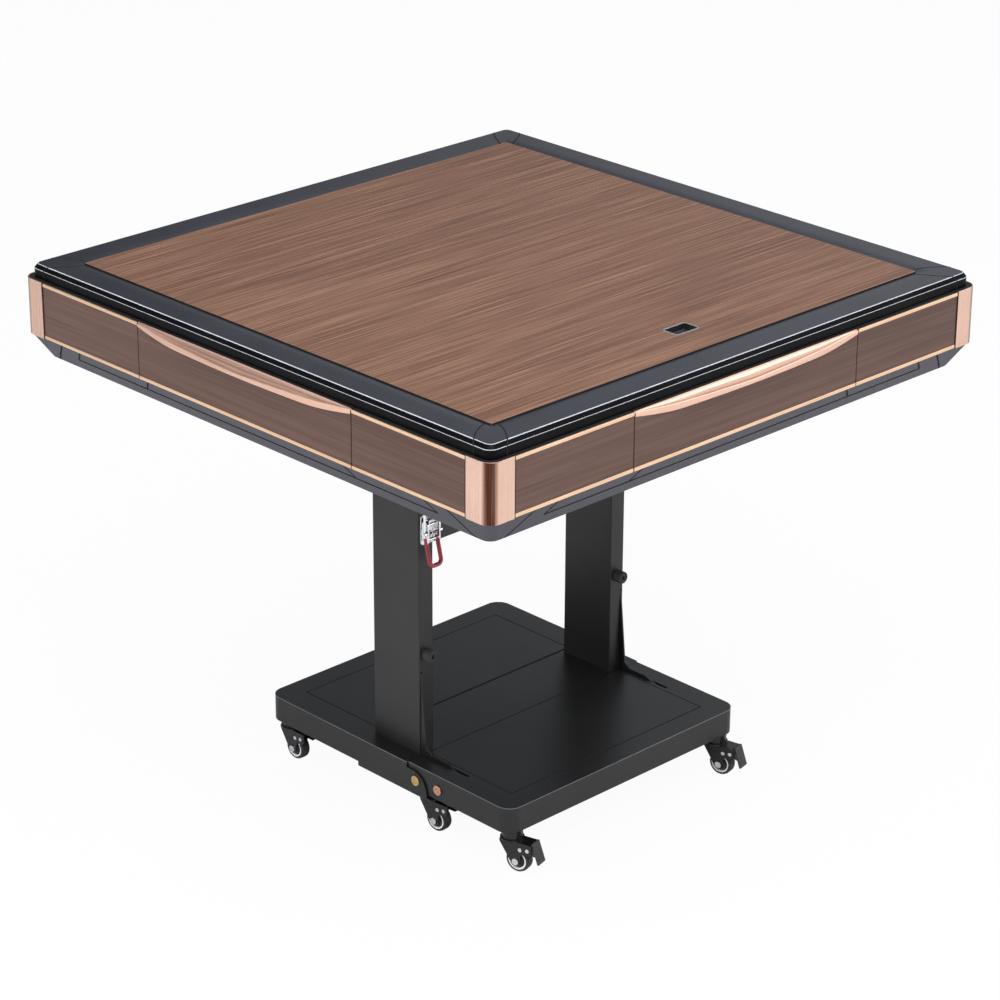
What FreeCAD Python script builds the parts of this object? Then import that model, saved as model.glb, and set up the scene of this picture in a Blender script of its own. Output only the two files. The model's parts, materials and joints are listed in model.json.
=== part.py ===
import FreeCAD, Part
import math
import os

# Folding automatic game table: a square machine head that tilts on two columns,
# over a wheeled base whose front half folds up.
# Millimetres. X runs along the fold and tilt axes, -Y is the side whose base half folds, Z is up.
# The origin is on the floor, under the middle of the head.

Vec = FreeCAD.Vector
ORIGIN = Vec(0, 0, 0)
ALONG_X = Vec(1, 0, 0)
ALONG_Y = Vec(0, 1, 0)
ALONG_Z = Vec(0, 0, 1)
QUARTER = 90

# Whole table
total_height = 763.0
body_width = 931.0
cut_over = 4.0
join_reach = 0.001
running_gap = 0.06
touch_gap = 0.3

# Base
base_width = 464.6
front_inset = 2.8
base_front_reach = 260.5
base_rear_reach = 238.5
base_clearance = 64.1
base_depth = 38.0
base_corner_radius = 22.0
base_sheet = 2.0
rail_side_width = 40.8
rail_end_width = 35.0
deck_gap = 0.6
ledge_width = 6.0
channel_sheet = 2.5
channel_front = -44.0
channel_rear = 41.0
channel_depth = 33.0
deck_split = 44.8

# Base hinge
hinge_y = -76.5
hinge_drop = 22.0
hinge_radius = 5.0
hinge_head_radius = 7.5
hinge_head_height = 2.0
hinge_recess_radius = 3.6
hinge_recess_depth = 1.0
bracket_spacing = 42.0
seam_behind_hinge = 18.7
hinge_free_radius = 29.3
end_chamfer_reach = 9.0
end_chamfer_rise = 12.0
tongue_sheet = 2.5
tongue_front = -98.0
tongue_top_drop = 8.0
tongue_radius = 31.0
tongue_drop = 6.7
foot_front = -108.0
foot_inset = 47.3
foot_sheet = 3.0
lug_inset = 14.9
lug_sheet = 5.0
lug_radius = 11.0
arm_sheet = 4.0
arm_radius = 13.0
arm_reach = 78.0

# Columns
column_inset = 56.1
column_width = 27.0
column_front = -53.0
column_rear = 41.0
column_wall = 2.5
column_edge_radius = 2.0
column_cap = 5.0
cross_beam_depth = 20.0
cross_beam_height = 43.0
cross_beam_drop = 158.0
cross_beam_back = 1.0
cross_beam_wall = 2.0
keeper_width = 10.0
keeper_rise = 14.0
keeper_reach = 10.0
keeper_sheet = 3.0
keeper_height = 14.0
bumper_rise = 152.1
bumper_length = 14.0
bumper_radius = 9.0
bumper_edge = 1.5
bumper_hole_radius = 3.0
bumper_hole_depth = 5.0

# Gusset plates
gusset_sheet = 3.0
gusset_rise = 127.0
gusset_flange_rise = 5.0
gusset_flange_start = 12.0
gusset_flange_lean = 11.0
gusset_flange_end = -107.0
gusset_tip = -126.0
gusset_tip_drop = 2.0
gusset_bottom_drop = 31.0
gusset_bend = 10.0
gusset_inside = 8.0
gusset_slot_gap = 0.8
gusset_slot_end = -149.0

# Head tilt pivot and swing frame
pivot_y = 20.0
pivot_rise = 21.0
pivot_drop = 28.5
pivot_radius = 6.0
pivot_lug_radius = 13.0
pivot_lug_half = 10.0
swing_gap = 0.8
cheek_sheet = 4.2
cheek_bottom_rise = 7.0
cheek_rear = 15.0
swing_sheet = 2.2
swing_edge = 4.0
swing_drop = 156.6
swing_flange = 3.0
swing_flange_rear = 120.0
window_width = 16.0
window_rise = 2.0
window_height = 38.0

# Latches
latch_plate_width = 25.0
latch_plate_drop = 47.0
latch_plate_height = 44.0
latch_sheet = 1.4
latch_ear_out = 11.0
latch_ear_half = 8.0
latch_ear_height = 18.0
latch_pivot_out = 8.0
latch_pivot_rise = 31.0
latch_pin_radius = 2.0
bean_near = 9.2
bean_sheet = 2.2
bean_radius = 6.0
bean_length = 22.0
bean_lean = 2.0
grip_radius = 2.5
grip_half = 10.5
grip_length = 36.0
grip_lean = 9.0
grip_bend = 7.0
grip_start = 6.0
bail_half = 14.0
bail_radius = 1.75
bail_bend = 4.0
bail_eye_half = 2.2
bail_stud_end = 16.8
bail_pivot_out = 10.0
bail_drop = 11.0
bail_top_rise = 12.0
bail_top_out = 10.5

# Casters
wheel_radius = 18.0
wheel_width = 16.0
wheel_edge = 3.0
wheel_dish_radius = 14.4
wheel_dish_depth = 2.0
wheel_hub_radius = 6.0
wheel_hub_out = 0.8
axle_radius = 3.0
axle_head_radius = 5.0
axle_head_height = 2.0
caster_trail = 12.0
caster_inset = 26.3
caster_rear_inset = 20.5
caster_middle_y = -83.0
caster_front_inset = 17.5
fork_half = 9.5
fork_sheet = 2.0
fork_top = 48.0
fork_plate = 3.0
fork_nose = 14.0
fork_tail = 37.0
fork_plate_tail = 33.0
fork_tail_height = 34.0
fork_arm_height = 31.0
fork_arm_back = 33.0
fork_leg_back = 20.0
fork_boss = 6.5
fork_boss_flat = 4.0
fork_edge = 3.0
fork_nose_height = 44.0
cup_radius = 17.0
cup_step = 2.0
cup_top_radius = 15.0
cup_top_step = 1.0
kingpin_radius = 5.0
kingpin_reach = 5.5
mount_sheet = 3.0
mount_half = 19.0
rivet_radius = 2.9
rivet_height = 1.0
rivet_back = 19.0
rivet_level = 38.0
pedal_half = 9.0
pedal_sheet = 3.2
pedal_pivot_back = 30.5
pedal_pivot_height = 39.5
pedal_pin_radius = 2.0
pedal_hub_radius = 4.0
pedal_top_back = 34.8
pedal_top_height = 50.0
pedal_low_back = 45.3
pedal_low_height = 19.5
pedal_edge = 1.2
middle_turn = 5.0
front_left_turn = 15.0
front_right_turn = 12.0

# Lower shell of the head
shell_height = 34.3
shell_top_inset = 2.0
shell_bottom_inset = 22.5
shell_top_radius = 16.0
shell_bottom_radius = 14.0
shell_wall = 3.0
shell_seam_width = 1.2
shell_seam_depth = 1.0
shell_seam_rise = 17.9
shell_band_inset = 104.5
shell_band_lean = 19.0
drawer_seam_low_inset = 2.0
drawer_seam_high_inset = 20.0
corner_seam_high_inset = 83.5
corner_seam_low_inset = 46.5
groove_margin = 0.6

# Side panels, drawers and caps
panel_bottom_gap = 0.6
panel_top_gap = 0.5
panel_height = 81.0
panel_setback = 1.2
panel_thickness = 12.3
cap_width = 43.5
trim_height = 5.0
trim_proud = 0.7
trim_depth = 2.0
cap_skin = 1.6
cap_radius = 18.0
cap_over = 1.0
drawer_width = 426.0
drawer_gap = 1.5
drawer_clear = 0.4
tray_half = 200.0
tray_depth = 122.0
tray_height = 32.0
tray_wall = 3.0
tray_rise = 8.5
pull_mid_height = 16.5
pull_end_height = 8.5
pull_bulge = 9.0
pull_scoop_radius = 12.0
pull_scoop_out = 5.7
pull_scoop_rise = 1.5
runner_width = 8.0
runner_height = 14.0
runner_ledge = 8.0
runner_sheet = 6.0
runner_gap = 0.3
runner_leg = 8.0

# Head frame, board and mechanism
rim_inset = 13.5
rim_width = 48.0
rim_height = 22.0
rim_play_gap = 0.3
pad_height = 2.0
pad_inset = 4.0
frame_tube = 20.0
frame_wall = 2.5
frame_inset = 35.5
frame_spacing = 90.0
beam_width = 30.0
board_thickness = 10.0
play_rise = 2.0
slot_inset = 104.0
slot_end_inset = 80.0
slot_width = 46.0
lift_gap = 2.0
lift_travel = 26.0
lift_sheet = 4.0
lift_rod = 12.0
lift_rod_gap = 4.4
lift_guide_half = 14.0
lift_guide_rise = 20.4
lift_guide_gap = 0.3
centre_hole_radius = 95.0
centre_radius = 88.0
centre_height = 34.0
centre_wall = 3.0
centre_opening = 52.0
centre_post_radius = 12.0
centre_collar_radius = 20.0
centre_collar = 1.3
bridge_half = 20.0
bridge_reach = 130.0
bridge_foot = 12.0
bridge_sheet = 5.0
dome_radius = 58.0
dome_rise = 14.0
dome_wall = 2.0
button_radius = 6.0
button_rise = 1.5
button_place = 73.0
turntable_inset = 65.0
turntable_sheet = 4.0
turntable_rise = 4.4
turntable_hub_radius = 24.0
rib_height = 6.0
rib_width = 5.0
rib_count = 6
rib_angle = 60
pulley_radius = 60.0
pulley_height = 8.0
pulley_rise = 8.4
motor_pulley_radius = 15.0
motor_distance = 105.0
motor_radius = 35.0
motor_height = 84.0
motor_edge = 4.0
motor_shaft_radius = 5.0
motor_fin = 2.0
motor_fin_width = 4.0
motor_fin_count = 12
motor_fin_angle = 30
belt_thickness = 2.0
belt_edge_gap = 1.0
belt_gap = 0.3
bowl_gap = 5.0
bowl_wall = 6.0
bowl_flange = 16.0
bowl_height = 51.0
bowl_outlet_width = 44.0
bowl_outlet_low = 12.0
bowl_outlet_height = 30.0
bowl_outlet_angle = 45
tub_half_x = 165.0
tub_half_y = 110.0
tub_depth = 110.6
tub_wall = 3.0
tub_flange = 6.0
tub_flange_sheet = 2.0
unit_near = 20.0
unit_far = 140.0
unit_half_y = 80.0
unit_sheet = 2.0
unit_foot = 8.0
unit_foot_height = 6.0
unit_block_height = 34.0
unit_block_inset = 12.0
unit_part_width = 22.0
unit_part_height = 18.0
inlet_half = 37.0
inlet_low = 40.0
inlet_height = 34.0
inlet_sheet = 2.0
inlet_radius = 3.0
inlet_body = 14.0
inlet_edge = 4.0
socket_half = 12.0
socket_height = 18.0
socket_depth = 11.0
socket_pin = 3.0
socket_pin_length = 8.0
socket_shift = 16.0
rocker_half = 7.0
rocker_height = 22.0
rocker_proud = 2.5
rocker_shift = 20.0

# Cover board
cover_inset = 8.0
cover_thickness = 19.0
cover_radius = 14.0
chamfer_width = 5.0
chamfer_height = 6.0
rail_width = 52.3
rail_inner_radius = 4.0
bevel_width = 14.8
bevel_drop = 1.8
cover_ledge_width = 9.2
cover_ledge = 3.0
cover_panel_gap = 0.45
cover_seam = 0.8
bulb_start_inset = 29.0
bulb_middle_inset = 24.5
bulb_middle_along_inset = 49.2
bulb_end_inset = 63.5
cup_x = 6.0
cup_inset = 68.75
cup_half_length = 21.0
cup_half_width = 13.5
cup_corner = 4.0
cup_wall = 1.2
cup_rim = 1.5
cup_rim_sheet = 0.8
cup_depth = 10.0

# Places that follow from the sizes
half_body = body_width / 2
half_base = base_width / 2
half_front = half_base - front_inset
rail_side_inner = half_base - rail_side_width
lug_inner = half_base - lug_inset
foot_inner = half_base - foot_inset
base_top = base_clearance + base_depth
hinge_z = base_top - hinge_drop
front_end = hinge_y + seam_behind_hinge
bracket_y = hinge_y - bracket_spacing
foot_bottom = base_clearance - tongue_drop
foot_top = foot_bottom + foot_sheet
tongue_inner = half_base - tongue_sheet
caster_x = half_base - caster_inset
caster_rear_y = base_rear_reach - caster_rear_inset
caster_front_y = caster_front_inset - base_front_reach
cover_bottom = total_height - cover_thickness
rim_top = cover_bottom - pad_height
rim_bottom = rim_top - rim_height
panel_top = cover_bottom - panel_top_gap
panel_bottom = panel_top - panel_height
panel_face = half_body - panel_setback
panel_back = panel_face - panel_thickness
panel_end = half_body - cap_width
drawer_back = panel_back + drawer_clear
shell_top = panel_bottom - panel_bottom_gap
head_bottom = shell_top - shell_height
shell_floor = head_bottom + shell_wall
column_inner = half_base - column_inset
column_outer = column_inner + column_width
column_centre = (column_inner + column_outer) / 2
pivot_z = head_bottom - pivot_drop
column_top = pivot_z - pivot_rise
cross_beam_bottom = column_top - cross_beam_drop
cross_beam_front = column_front + cross_beam_back
bumper_height = base_top + bumper_rise
gusset_outer = column_outer - column_wall
gusset_inner = gusset_outer - gusset_sheet
swing_bottom = head_bottom - swing_drop
window_bottom = swing_bottom + window_rise
keeper_bottom = window_bottom + keeper_rise
swing_back = column_front - swing_gap
swing_face = swing_back - swing_sheet
latch_face = swing_face - latch_sheet
latch_plate_bottom = swing_bottom - latch_plate_drop
latch_pivot_height = latch_plate_bottom + latch_pivot_rise
bail_pivot_height = latch_pivot_height - bail_drop
bail_top_height = keeper_bottom + bail_top_rise
frame_top = shell_floor + frame_tube
board_bottom = rim_bottom - board_thickness
play_top = rim_bottom + play_rise
half_drawer = drawer_width / 2
shell_top_half = half_body - shell_top_inset
shell_bottom_half = half_body - shell_bottom_inset
shell_band_half = half_body - shell_band_inset
drawer_seam_low = half_drawer - drawer_seam_low_inset
drawer_seam_high = half_drawer - drawer_seam_high_inset
corner_seam_high = half_body - corner_seam_high_inset
corner_seam_low = half_body - corner_seam_low_inset
rim_outer_half = half_body - rim_inset
rim_inner_half = rim_outer_half - rim_width
pad_inner = rim_inner_half + pad_inset
pad_outer = rim_outer_half - pad_inset
frame_outer_half = half_body - frame_inset
frame_inner_half = frame_outer_half - frame_spacing
slot_distance = rim_inner_half - slot_inset
slot_half = slot_distance - slot_end_inset
turntable_radius = slot_distance - turntable_inset
turntable_height = frame_top + turntable_rise
pulley_bottom = shell_floor + pulley_rise
pulley_top = pulley_bottom + pulley_height
bowl_inner = turntable_radius + bowl_gap
lift_rod_bottom = shell_floor + lift_rod_gap
lift_guide_top = frame_top + lift_guide_rise
guide_inner = slot_distance - lift_guide_half
fork_cap = fork_top + cup_step + cup_top_step
pull_bottom = panel_top - pull_mid_height
tray_bottom = panel_bottom + tray_rise
tub_bottom = head_bottom - tub_depth
tub_floor = tub_bottom + tub_wall
cover_half = half_body - cover_inset
rail_inner_half = cover_half - rail_width
bevel_half = rail_inner_half + bevel_width
cover_ledge_half = rail_inner_half - cover_ledge_width
cover_panel_half = rail_inner_half - cover_panel_gap
bulb_start_along = cover_half - bulb_start_inset
bulb_middle_across = cover_half - bulb_middle_inset
bulb_middle_along = cover_half - bulb_middle_along_inset
bulb_end_along = cover_half - bulb_end_inset
cup_y = cup_inset - cover_panel_half


def box(x0, x1, y0, y1, z0, z1):
    """Block between three pairs of limits."""
    return Part.makeBox(x1 - x0, y1 - y0, z1 - z0, Vec(x0, y0, z0))


def rod(radius, start, end):
    """Round bar from one point to another."""
    return Part.makeCylinder(radius, (end - start).Length, start, end - start)


def floor_plane(z):
    """Places an outline level, at one height."""
    return lambda u, v: Vec(u, v, z)


def side_plane(x):
    """Places an outline upright, facing along X."""
    return lambda u, v: Vec(x, u, v)


def front_plane(y):
    """Places an outline upright, facing along Y."""
    return lambda u, v: Vec(u, y, v)


def corner_arc(here, before, after, radius):
    """Start, middle and end of the arc that rounds one corner."""
    half_angle = before.getAngle(after) / 2
    reach = radius / math.tan(half_angle)
    inward = before + after
    inward.normalize()
    middle = here + inward * (radius / math.sin(half_angle) - radius)
    return here + before * reach, middle, here + after * reach


def outline(corners, place):
    """Closed wire through corners given as (u, v, rounding radius)."""
    points = [place(u, v) for u, v, radius in corners]
    arcs = []
    for index, here in enumerate(points):
        before = (points[index - 1] - here).normalize()
        after = (points[(index + 1) % len(points)] - here).normalize()
        radius = corners[index][2]
        arcs.append(corner_arc(here, before, after, radius) if radius else (here, None, here))
    edges = []
    for index, (start, middle, end) in enumerate(arcs):
        if middle is not None:
            edges.append(Part.Arc(start, middle, end).toShape())
        following = arcs[(index + 1) % len(arcs)][0]
        if (following - end).Length > join_reach:
            edges.append(Part.makeLine(end, following))
    return Part.Wire(edges)


def prism(corners, place, push):
    """Solid pushed out from an outline with rounded corners."""
    return Part.Face(outline(corners, place)).extrude(push)


def rectangle(x0, x1, y0, y1, radius):
    """Corners of a rectangle, all rounded alike."""
    return [(x0, y0, radius), (x1, y0, radius), (x1, y1, radius), (x0, y1, radius)]


def plate(x0, x1, y0, y1, radius, z0, z1):
    """Level plate with rounded corners."""
    return prism(rectangle(x0, x1, y0, y1, radius), floor_plane(z0), ALONG_Z * (z1 - z0))


def square_slab(half, radius, z0, z1):
    """Square plate about the Z axis, with rounded corners."""
    return plate(-half, half, -half, half, radius, z0, z1)


def square_loft(low_half, low_radius, z0, high_half, high_radius, z1):
    """Square block about the Z axis whose sides lean."""
    low = outline(rectangle(-low_half, low_half, -low_half, low_half, low_radius), floor_plane(z0))
    high = outline(rectangle(-high_half, high_half, -high_half, high_half, high_radius), floor_plane(z1))
    return Part.makeLoft([low, high], True, True)


def union(shapes):
    """One solid from several that touch or overlap."""
    return shapes[0].multiFuse(shapes[1:]).removeSplitter()


def group(shapes):
    """Several separate solids kept together."""
    return Part.makeCompound([solid for shape in shapes for solid in shape.Solids])


def mirrored(shape):
    """The same shape on the other side of the X = 0 plane."""
    return shape.mirror(ORIGIN, ALONG_X)


def both_sides(shape):
    """A shape and its mirror image."""
    return [shape, mirrored(shape)]


def turned(shape, angle, centre=ORIGIN, axis=ALONG_Z):
    """Copy of a shape, turned about an axis."""
    copy = shape.copy()
    copy.rotate(centre, axis, angle)
    return copy


def four_sides(shape):
    """The shape on each of the four sides of the head."""
    return [turned(shape, QUARTER * side) for side in range(4)]


def moved(shape, x, y, z):
    """Copy of a shape, moved."""
    copy = shape.copy()
    copy.translate(Vec(x, y, z))
    return copy


def save(name, shape):
    """Writes one sub-part and prints what it holds."""
    shape.exportStep("parts/" + name + ".step")
    print(name, "solids", len(shape.Solids), "valid", shape.isValid(), "volume", round(shape.Volume / 1000, 2))


def hinge_bar(radius, x0, x1):
    """Round bar on the base hinge axis."""
    return rod(radius, Vec(x0, hinge_y, hinge_z), Vec(x1, hinge_y, hinge_z))


def bracket_bar(radius, x0, x1):
    """Round bar on the second bolt of the hinge arm."""
    return rod(radius, Vec(x0, bracket_y, hinge_z), Vec(x1, bracket_y, hinge_z))


def gusset_slots(y0, y1, gap):
    """Slots in a rail top for the gusset plates of both sides."""
    slot = box(gusset_inner - gap, gusset_outer + gap, y0, y1, base_clearance, base_top + cut_over)
    return both_sides(slot)


def span(a, b):
    """Two limits in rising order."""
    return min(a, b), max(a, b)


def rail_frame(half, closed, seam, end_inner):
    """Channel-section rails, open below, along both sides and one closed end of the base."""
    way = math.copysign(1, closed - seam)
    beyond = seam - way * base_corner_radius * 2
    roof = base_top - base_sheet
    side = half - base_sheet
    inner = rail_side_inner
    core_side = inner + base_sheet
    y0, y1 = span(beyond, closed)
    block = plate(-half, half, y0, y1, base_corner_radius, base_clearance, base_top)
    y0, y1 = span(beyond, closed - way * base_sheet)
    hollow = plate(-side, side, y0, y1, base_corner_radius - base_sheet, base_clearance, roof)
    y0, y1 = span(beyond, end_inner + way * base_sheet)
    core = box(-core_side, core_side, y0, y1, base_clearance, roof)
    y0, y1 = span(beyond, end_inner)
    opening = box(-inner, inner, y0, y1, base_clearance - cut_over, base_top + cut_over)
    y0, y1 = span(seam, closed)
    keep = box(-half, half, y0, y1, base_clearance, base_top)
    return block.cut(hollow.cut(core)).cut(opening).common(keep)


def deck_ledge(seam, end_inner):
    """Narrow shelf inside the rails that a deck plate lies on."""
    y0, y1 = span(seam, end_inner)
    way = math.copysign(ledge_width, end_inner - seam)
    top = base_top - base_sheet
    low = top - base_sheet
    inner = rail_side_inner - ledge_width
    shelf = box(-rail_side_inner, rail_side_inner, y0, y1, low, top)
    y0, y1 = span(seam - way, end_inner - way)
    return shelf.cut(box(-inner, inner, y0, y1, low - cut_over, top + cut_over))


def tongue_plate():
    """Side wall of the rear base that reaches forward past the hinge bolt."""
    rear = deck_split
    low = foot_bottom
    shoulder = base_top - tongue_top_drop
    seam = hinge_y + math.sqrt(hinge_free_radius ** 2 - hinge_drop ** 2)
    corners = [
        (rear, low, 0),
        (rear, base_top, 0),
        (seam, base_top, 0),
        (seam, shoulder, 0),
        (tongue_front, shoulder, tongue_radius),
        (tongue_front, low, 0),
    ]
    return prism(corners, side_plane(tongue_inner), ALONG_X * tongue_sheet)


def foot_plate():
    """Plate over the middle caster, with the lug that holds the inner end of the hinge bolt."""
    foot = box(foot_inner, half_base, foot_front, deck_split, foot_bottom, foot_top)
    stem = box(lug_inner, lug_inner + lug_sheet, hinge_y - lug_radius, hinge_y + lug_radius, foot_bottom, hinge_z)
    head = hinge_bar(lug_radius, lug_inner, lug_inner + lug_sheet)
    return union([foot, stem, head])


def make_rear_frame():
    """Rear half of the base: rails, deck shelves, side tongues and foot plates."""
    seam = hinge_y
    rails = rail_frame(half_base, base_rear_reach, seam, base_rear_reach - rail_end_width)
    roof = base_top - base_sheet
    swept = hinge_bar(hinge_free_radius, -tongue_inner, tongue_inner)
    ahead = box(-half_base, half_base, seam - cut_over, seam, foot_bottom, base_top + cut_over)
    sides = box(tongue_inner, half_base + cut_over, seam - cut_over, deck_split, base_clearance - cut_over, base_top)
    drops = box(rail_side_inner, rail_side_inner + base_sheet, seam, deck_split, foot_top, base_clearance)
    rails = union([rails, drops, mirrored(drops)])
    rails = rails.cut(group([swept, ahead] + both_sides(sides)))
    rails = rails.cut(group(gusset_slots(hinge_y, column_front + gusset_inside, 0)))
    ledge = deck_ledge(channel_rear, base_rear_reach - rail_end_width)
    side_parts = both_sides(tongue_plate()) + both_sides(foot_plate())
    frame = union([rails, ledge] + side_parts)
    bore = union(both_sides(hinge_bar(hinge_radius, lug_inner - cut_over, half_base + cut_over)))
    return frame.cut(bore)


def make_rear_decks():
    """Rear deck plate and the band between the columns."""
    half = rail_side_inner - deck_gap
    low = base_top - base_sheet
    rear = box(-half, half, deck_split + deck_gap, base_rear_reach - rail_end_width - deck_gap, low, base_top)
    band = box(-half, half, hinge_y, deck_split - deck_gap, low, base_top)
    return group([rear, band.cut(hinge_bar(hinge_free_radius, -half - cut_over, half + cut_over))])


def make_cross_channel():
    """Channel across the base under the columns, open below."""
    top = base_top - base_sheet
    low = top - channel_depth
    sheet = channel_sheet
    half = rail_side_inner
    block = box(-half, half, channel_front, channel_rear, low, top)
    hollow = box(-half, half, channel_front + sheet, channel_rear - sheet, low - cut_over, top - sheet)
    return block.cut(hollow)


def domed_bolt(bar, outer):
    """Bolt with a wide recessed head outside the side wall, made for the X > 0 side."""
    head_end = outer + hinge_head_height
    shank = bar(hinge_radius, lug_inner, outer)
    head = bar(hinge_head_radius, outer, head_end)
    recess = bar(hinge_recess_radius, head_end - hinge_recess_depth, head_end + cut_over)
    return union([shank, head]).cut(recess)


def make_hinge_pins():
    """The two bolts that the front half of the base folds about."""
    return group(both_sides(domed_bolt(hinge_bar, half_base)))


def make_bracket_pins():
    """Second bolt of each hinge arm, on the folding half."""
    trimmed = box(half_front - base_sheet - arm_sheet, half_base, -half_base, 0, base_clearance, base_top)
    bolt = domed_bolt(bracket_bar, half_front)
    return group(both_sides(bolt.common(trimmed)))


def make_front_frame():
    """Folding half of the base, with slots for the gusset plates and bevelled rail ends."""
    rails = rail_frame(half_front, -base_front_reach, front_end, rail_end_width - base_front_reach)
    ledge = deck_ledge(front_end, rail_end_width - base_front_reach)
    frame = union([rails, ledge])
    low = base_clearance - cut_over
    rise = base_clearance + end_chamfer_rise
    slope = cut_over * end_chamfer_rise / (seam_behind_hinge - end_chamfer_reach)
    corners = [
        (hinge_y + end_chamfer_reach - cut_over, base_clearance - slope, 0),
        (front_end + cut_over, base_clearance - slope, 0),
        (front_end + cut_over, rise + slope, 0),
    ]
    wedge = prism(corners, side_plane(-half_base), ALONG_X * base_width)
    bores = both_sides(hinge_bar(hinge_radius + running_gap, lug_inner, half_base))
    bores += both_sides(bracket_bar(hinge_radius, lug_inner, half_base))
    slots = gusset_slots(gusset_slot_end, front_end + cut_over, gusset_slot_gap)
    return frame.cut(group([wedge] + bores + slots))


def make_front_deck():
    """Deck plate of the folding half."""
    half = rail_side_inner - deck_gap
    front = rail_end_width - base_front_reach + deck_gap
    return box(-half, half, front, front_end, base_top - base_sheet, base_top)


def make_hinge_arms():
    """Plates inside the front rails that turn on the hinge bolts."""
    inner = half_front - base_sheet - arm_sheet
    reach = hinge_y - arm_reach
    bar = box(inner, inner + arm_sheet, reach, hinge_y, hinge_z - arm_radius, hinge_z + arm_radius)
    nose = hinge_bar(arm_radius, inner, inner + arm_sheet)
    arm = union([bar, nose]).cut(hinge_bar(hinge_radius + running_gap, lug_inner, half_base))
    arm = arm.cut(bracket_bar(hinge_radius, lug_inner, half_base))
    return group(both_sides(arm))


def column_tube():
    """One column with its cap, its keeper hook and the lug for the head pivot."""
    radius = column_edge_radius
    wall = column_wall
    x0, x1 = column_inner, column_outer
    cap_bottom = column_top - column_cap
    tube = plate(x0, x1, column_front, column_rear, radius, base_top, column_top)
    hollow = plate(x0 + wall, x1 - wall, column_front + wall, column_rear - wall, radius / 2, base_top, cap_bottom)
    slot = box(gusset_inner, gusset_outer, column_front - cut_over, column_front + gusset_inside, base_top, base_top + gusset_rise)
    tube = tube.cut(union([hollow, slot]))
    lug_x = column_centre - pivot_lug_half
    width = pivot_lug_half * 2
    stem = box(lug_x, lug_x + width, pivot_y - pivot_lug_radius, pivot_y + pivot_lug_radius, cap_bottom, pivot_z)
    head = pivot_bar(pivot_lug_radius, lug_x, lug_x + width)
    bore = pivot_bar(pivot_radius + running_gap, lug_x - cut_over, lug_x + width + cut_over)
    return union([tube, stem, head]).cut(bore)


def keeper_hook():
    """Hook on the column front that the latch bail holds."""
    tip = column_front - keeper_reach
    low = keeper_bottom
    corners = [
        (column_front, low, 0),
        (tip, low, keeper_sheet),
        (tip, low + keeper_height, 0),
        (tip + keeper_sheet, low + keeper_height, 0),
        (tip + keeper_sheet, low + keeper_sheet, 0),
        (column_front, low + keeper_sheet, 0),
    ]
    return prism(corners, side_plane(column_centre - keeper_width / 2), ALONG_X * keeper_width)


def pivot_bar(radius, x0, x1):
    """Round bar on the axis that the head tilts about."""
    return rod(radius, Vec(x0, pivot_y, pivot_z), Vec(x1, pivot_y, pivot_z))


def make_columns():
    """Both columns, the left one with the keeper of the latch."""
    right = column_tube()
    left = union([right, keeper_hook()])
    return group([right, mirrored(left)])


def make_cross_beam():
    """Hollow beam between the columns."""
    half = column_inner
    wall = cross_beam_wall
    low = cross_beam_bottom
    front = cross_beam_front
    rear = front + cross_beam_depth
    beam = box(-half, half, front, rear, low, low + cross_beam_height)
    return beam.cut(box(-half, half, front + wall, rear - wall, low + wall, low + cross_beam_height - wall))


def make_gusset_plates():
    """Plates that brace each column from inside the base rail."""
    low = base_top - gusset_bottom_drop
    flange_top = base_top + gusset_flange_rise
    foot = column_front - gusset_flange_lean
    corners = [
        (column_front + gusset_inside, low, 0),
        (column_front + gusset_inside, base_top + gusset_rise, 0),
        (column_front, base_top + gusset_rise - gusset_sheet, 0),
        (foot, base_top + gusset_flange_start, 0),
        (foot - gusset_flange_start, flange_top, 0),
        (gusset_flange_end, flange_top, gusset_bend),
        (gusset_tip, base_top - gusset_tip_drop, 0),
        (gusset_tip, low, gusset_bend),
    ]
    return group(both_sides(prism(corners, side_plane(gusset_inner), ALONG_X * gusset_sheet)))


def make_bumpers():
    """Rubber stops on the columns, with a sunk screw head."""
    end = column_front - bumper_length
    body = rod(bumper_radius, Vec(column_centre, column_front, bumper_height), Vec(column_centre, end, bumper_height))
    body = body.makeFillet(bumper_edge, [body.Edges[index] for index in far_edges(body, end)])
    floor = Vec(column_centre, end + bumper_hole_depth, bumper_height)
    hole = rod(bumper_hole_radius, floor, Vec(column_centre, end - cut_over, bumper_height))
    return group(both_sides(body.cut(hole)))


def far_edges(shape, y):
    """Places in the edge list of the edges that lie wholly at one Y."""
    found = []
    for index, edge in enumerate(shape.Edges):
        limits = edge.BoundBox
        if abs(limits.YMin - y) < join_reach and abs(limits.YMax - y) < join_reach:
            found.append(index)
    return found


def stem_bar(radius, z0, z1):
    """Round bar on a caster's upright axis, in the caster's own frame."""
    return rod(radius, Vec(0, 0, z0), Vec(0, 0, z1))


def rail_room(half, closed, z0, z1):
    """Space inside a rail frame, with its rounded corners at the closed end."""
    side = half - base_sheet
    y0, y1 = span(0, closed - math.copysign(base_sheet, closed))
    return plate(-side, side, y0, y1, base_corner_radius - base_sheet, z0, z1)


def caster_cup(x, y, underside, plate_limits, room=None):
    """Fixed cup over a caster, with a blind bore for the kingpin and a plate in the rail hollow."""
    cup = stem_bar(cup_top_radius, fork_cap + touch_gap, underside)
    cup = moved(cup, x, y, 0)
    parts = [cup]
    if plate_limits:
        parts.append(box(*plate_limits, underside, underside + mount_sheet).common(room))
    bore = moved(stem_bar(kingpin_radius + running_gap, fork_cap, fork_cap + kingpin_reach + touch_gap), x, y, 0)
    return union(parts).cut(bore)


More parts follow.
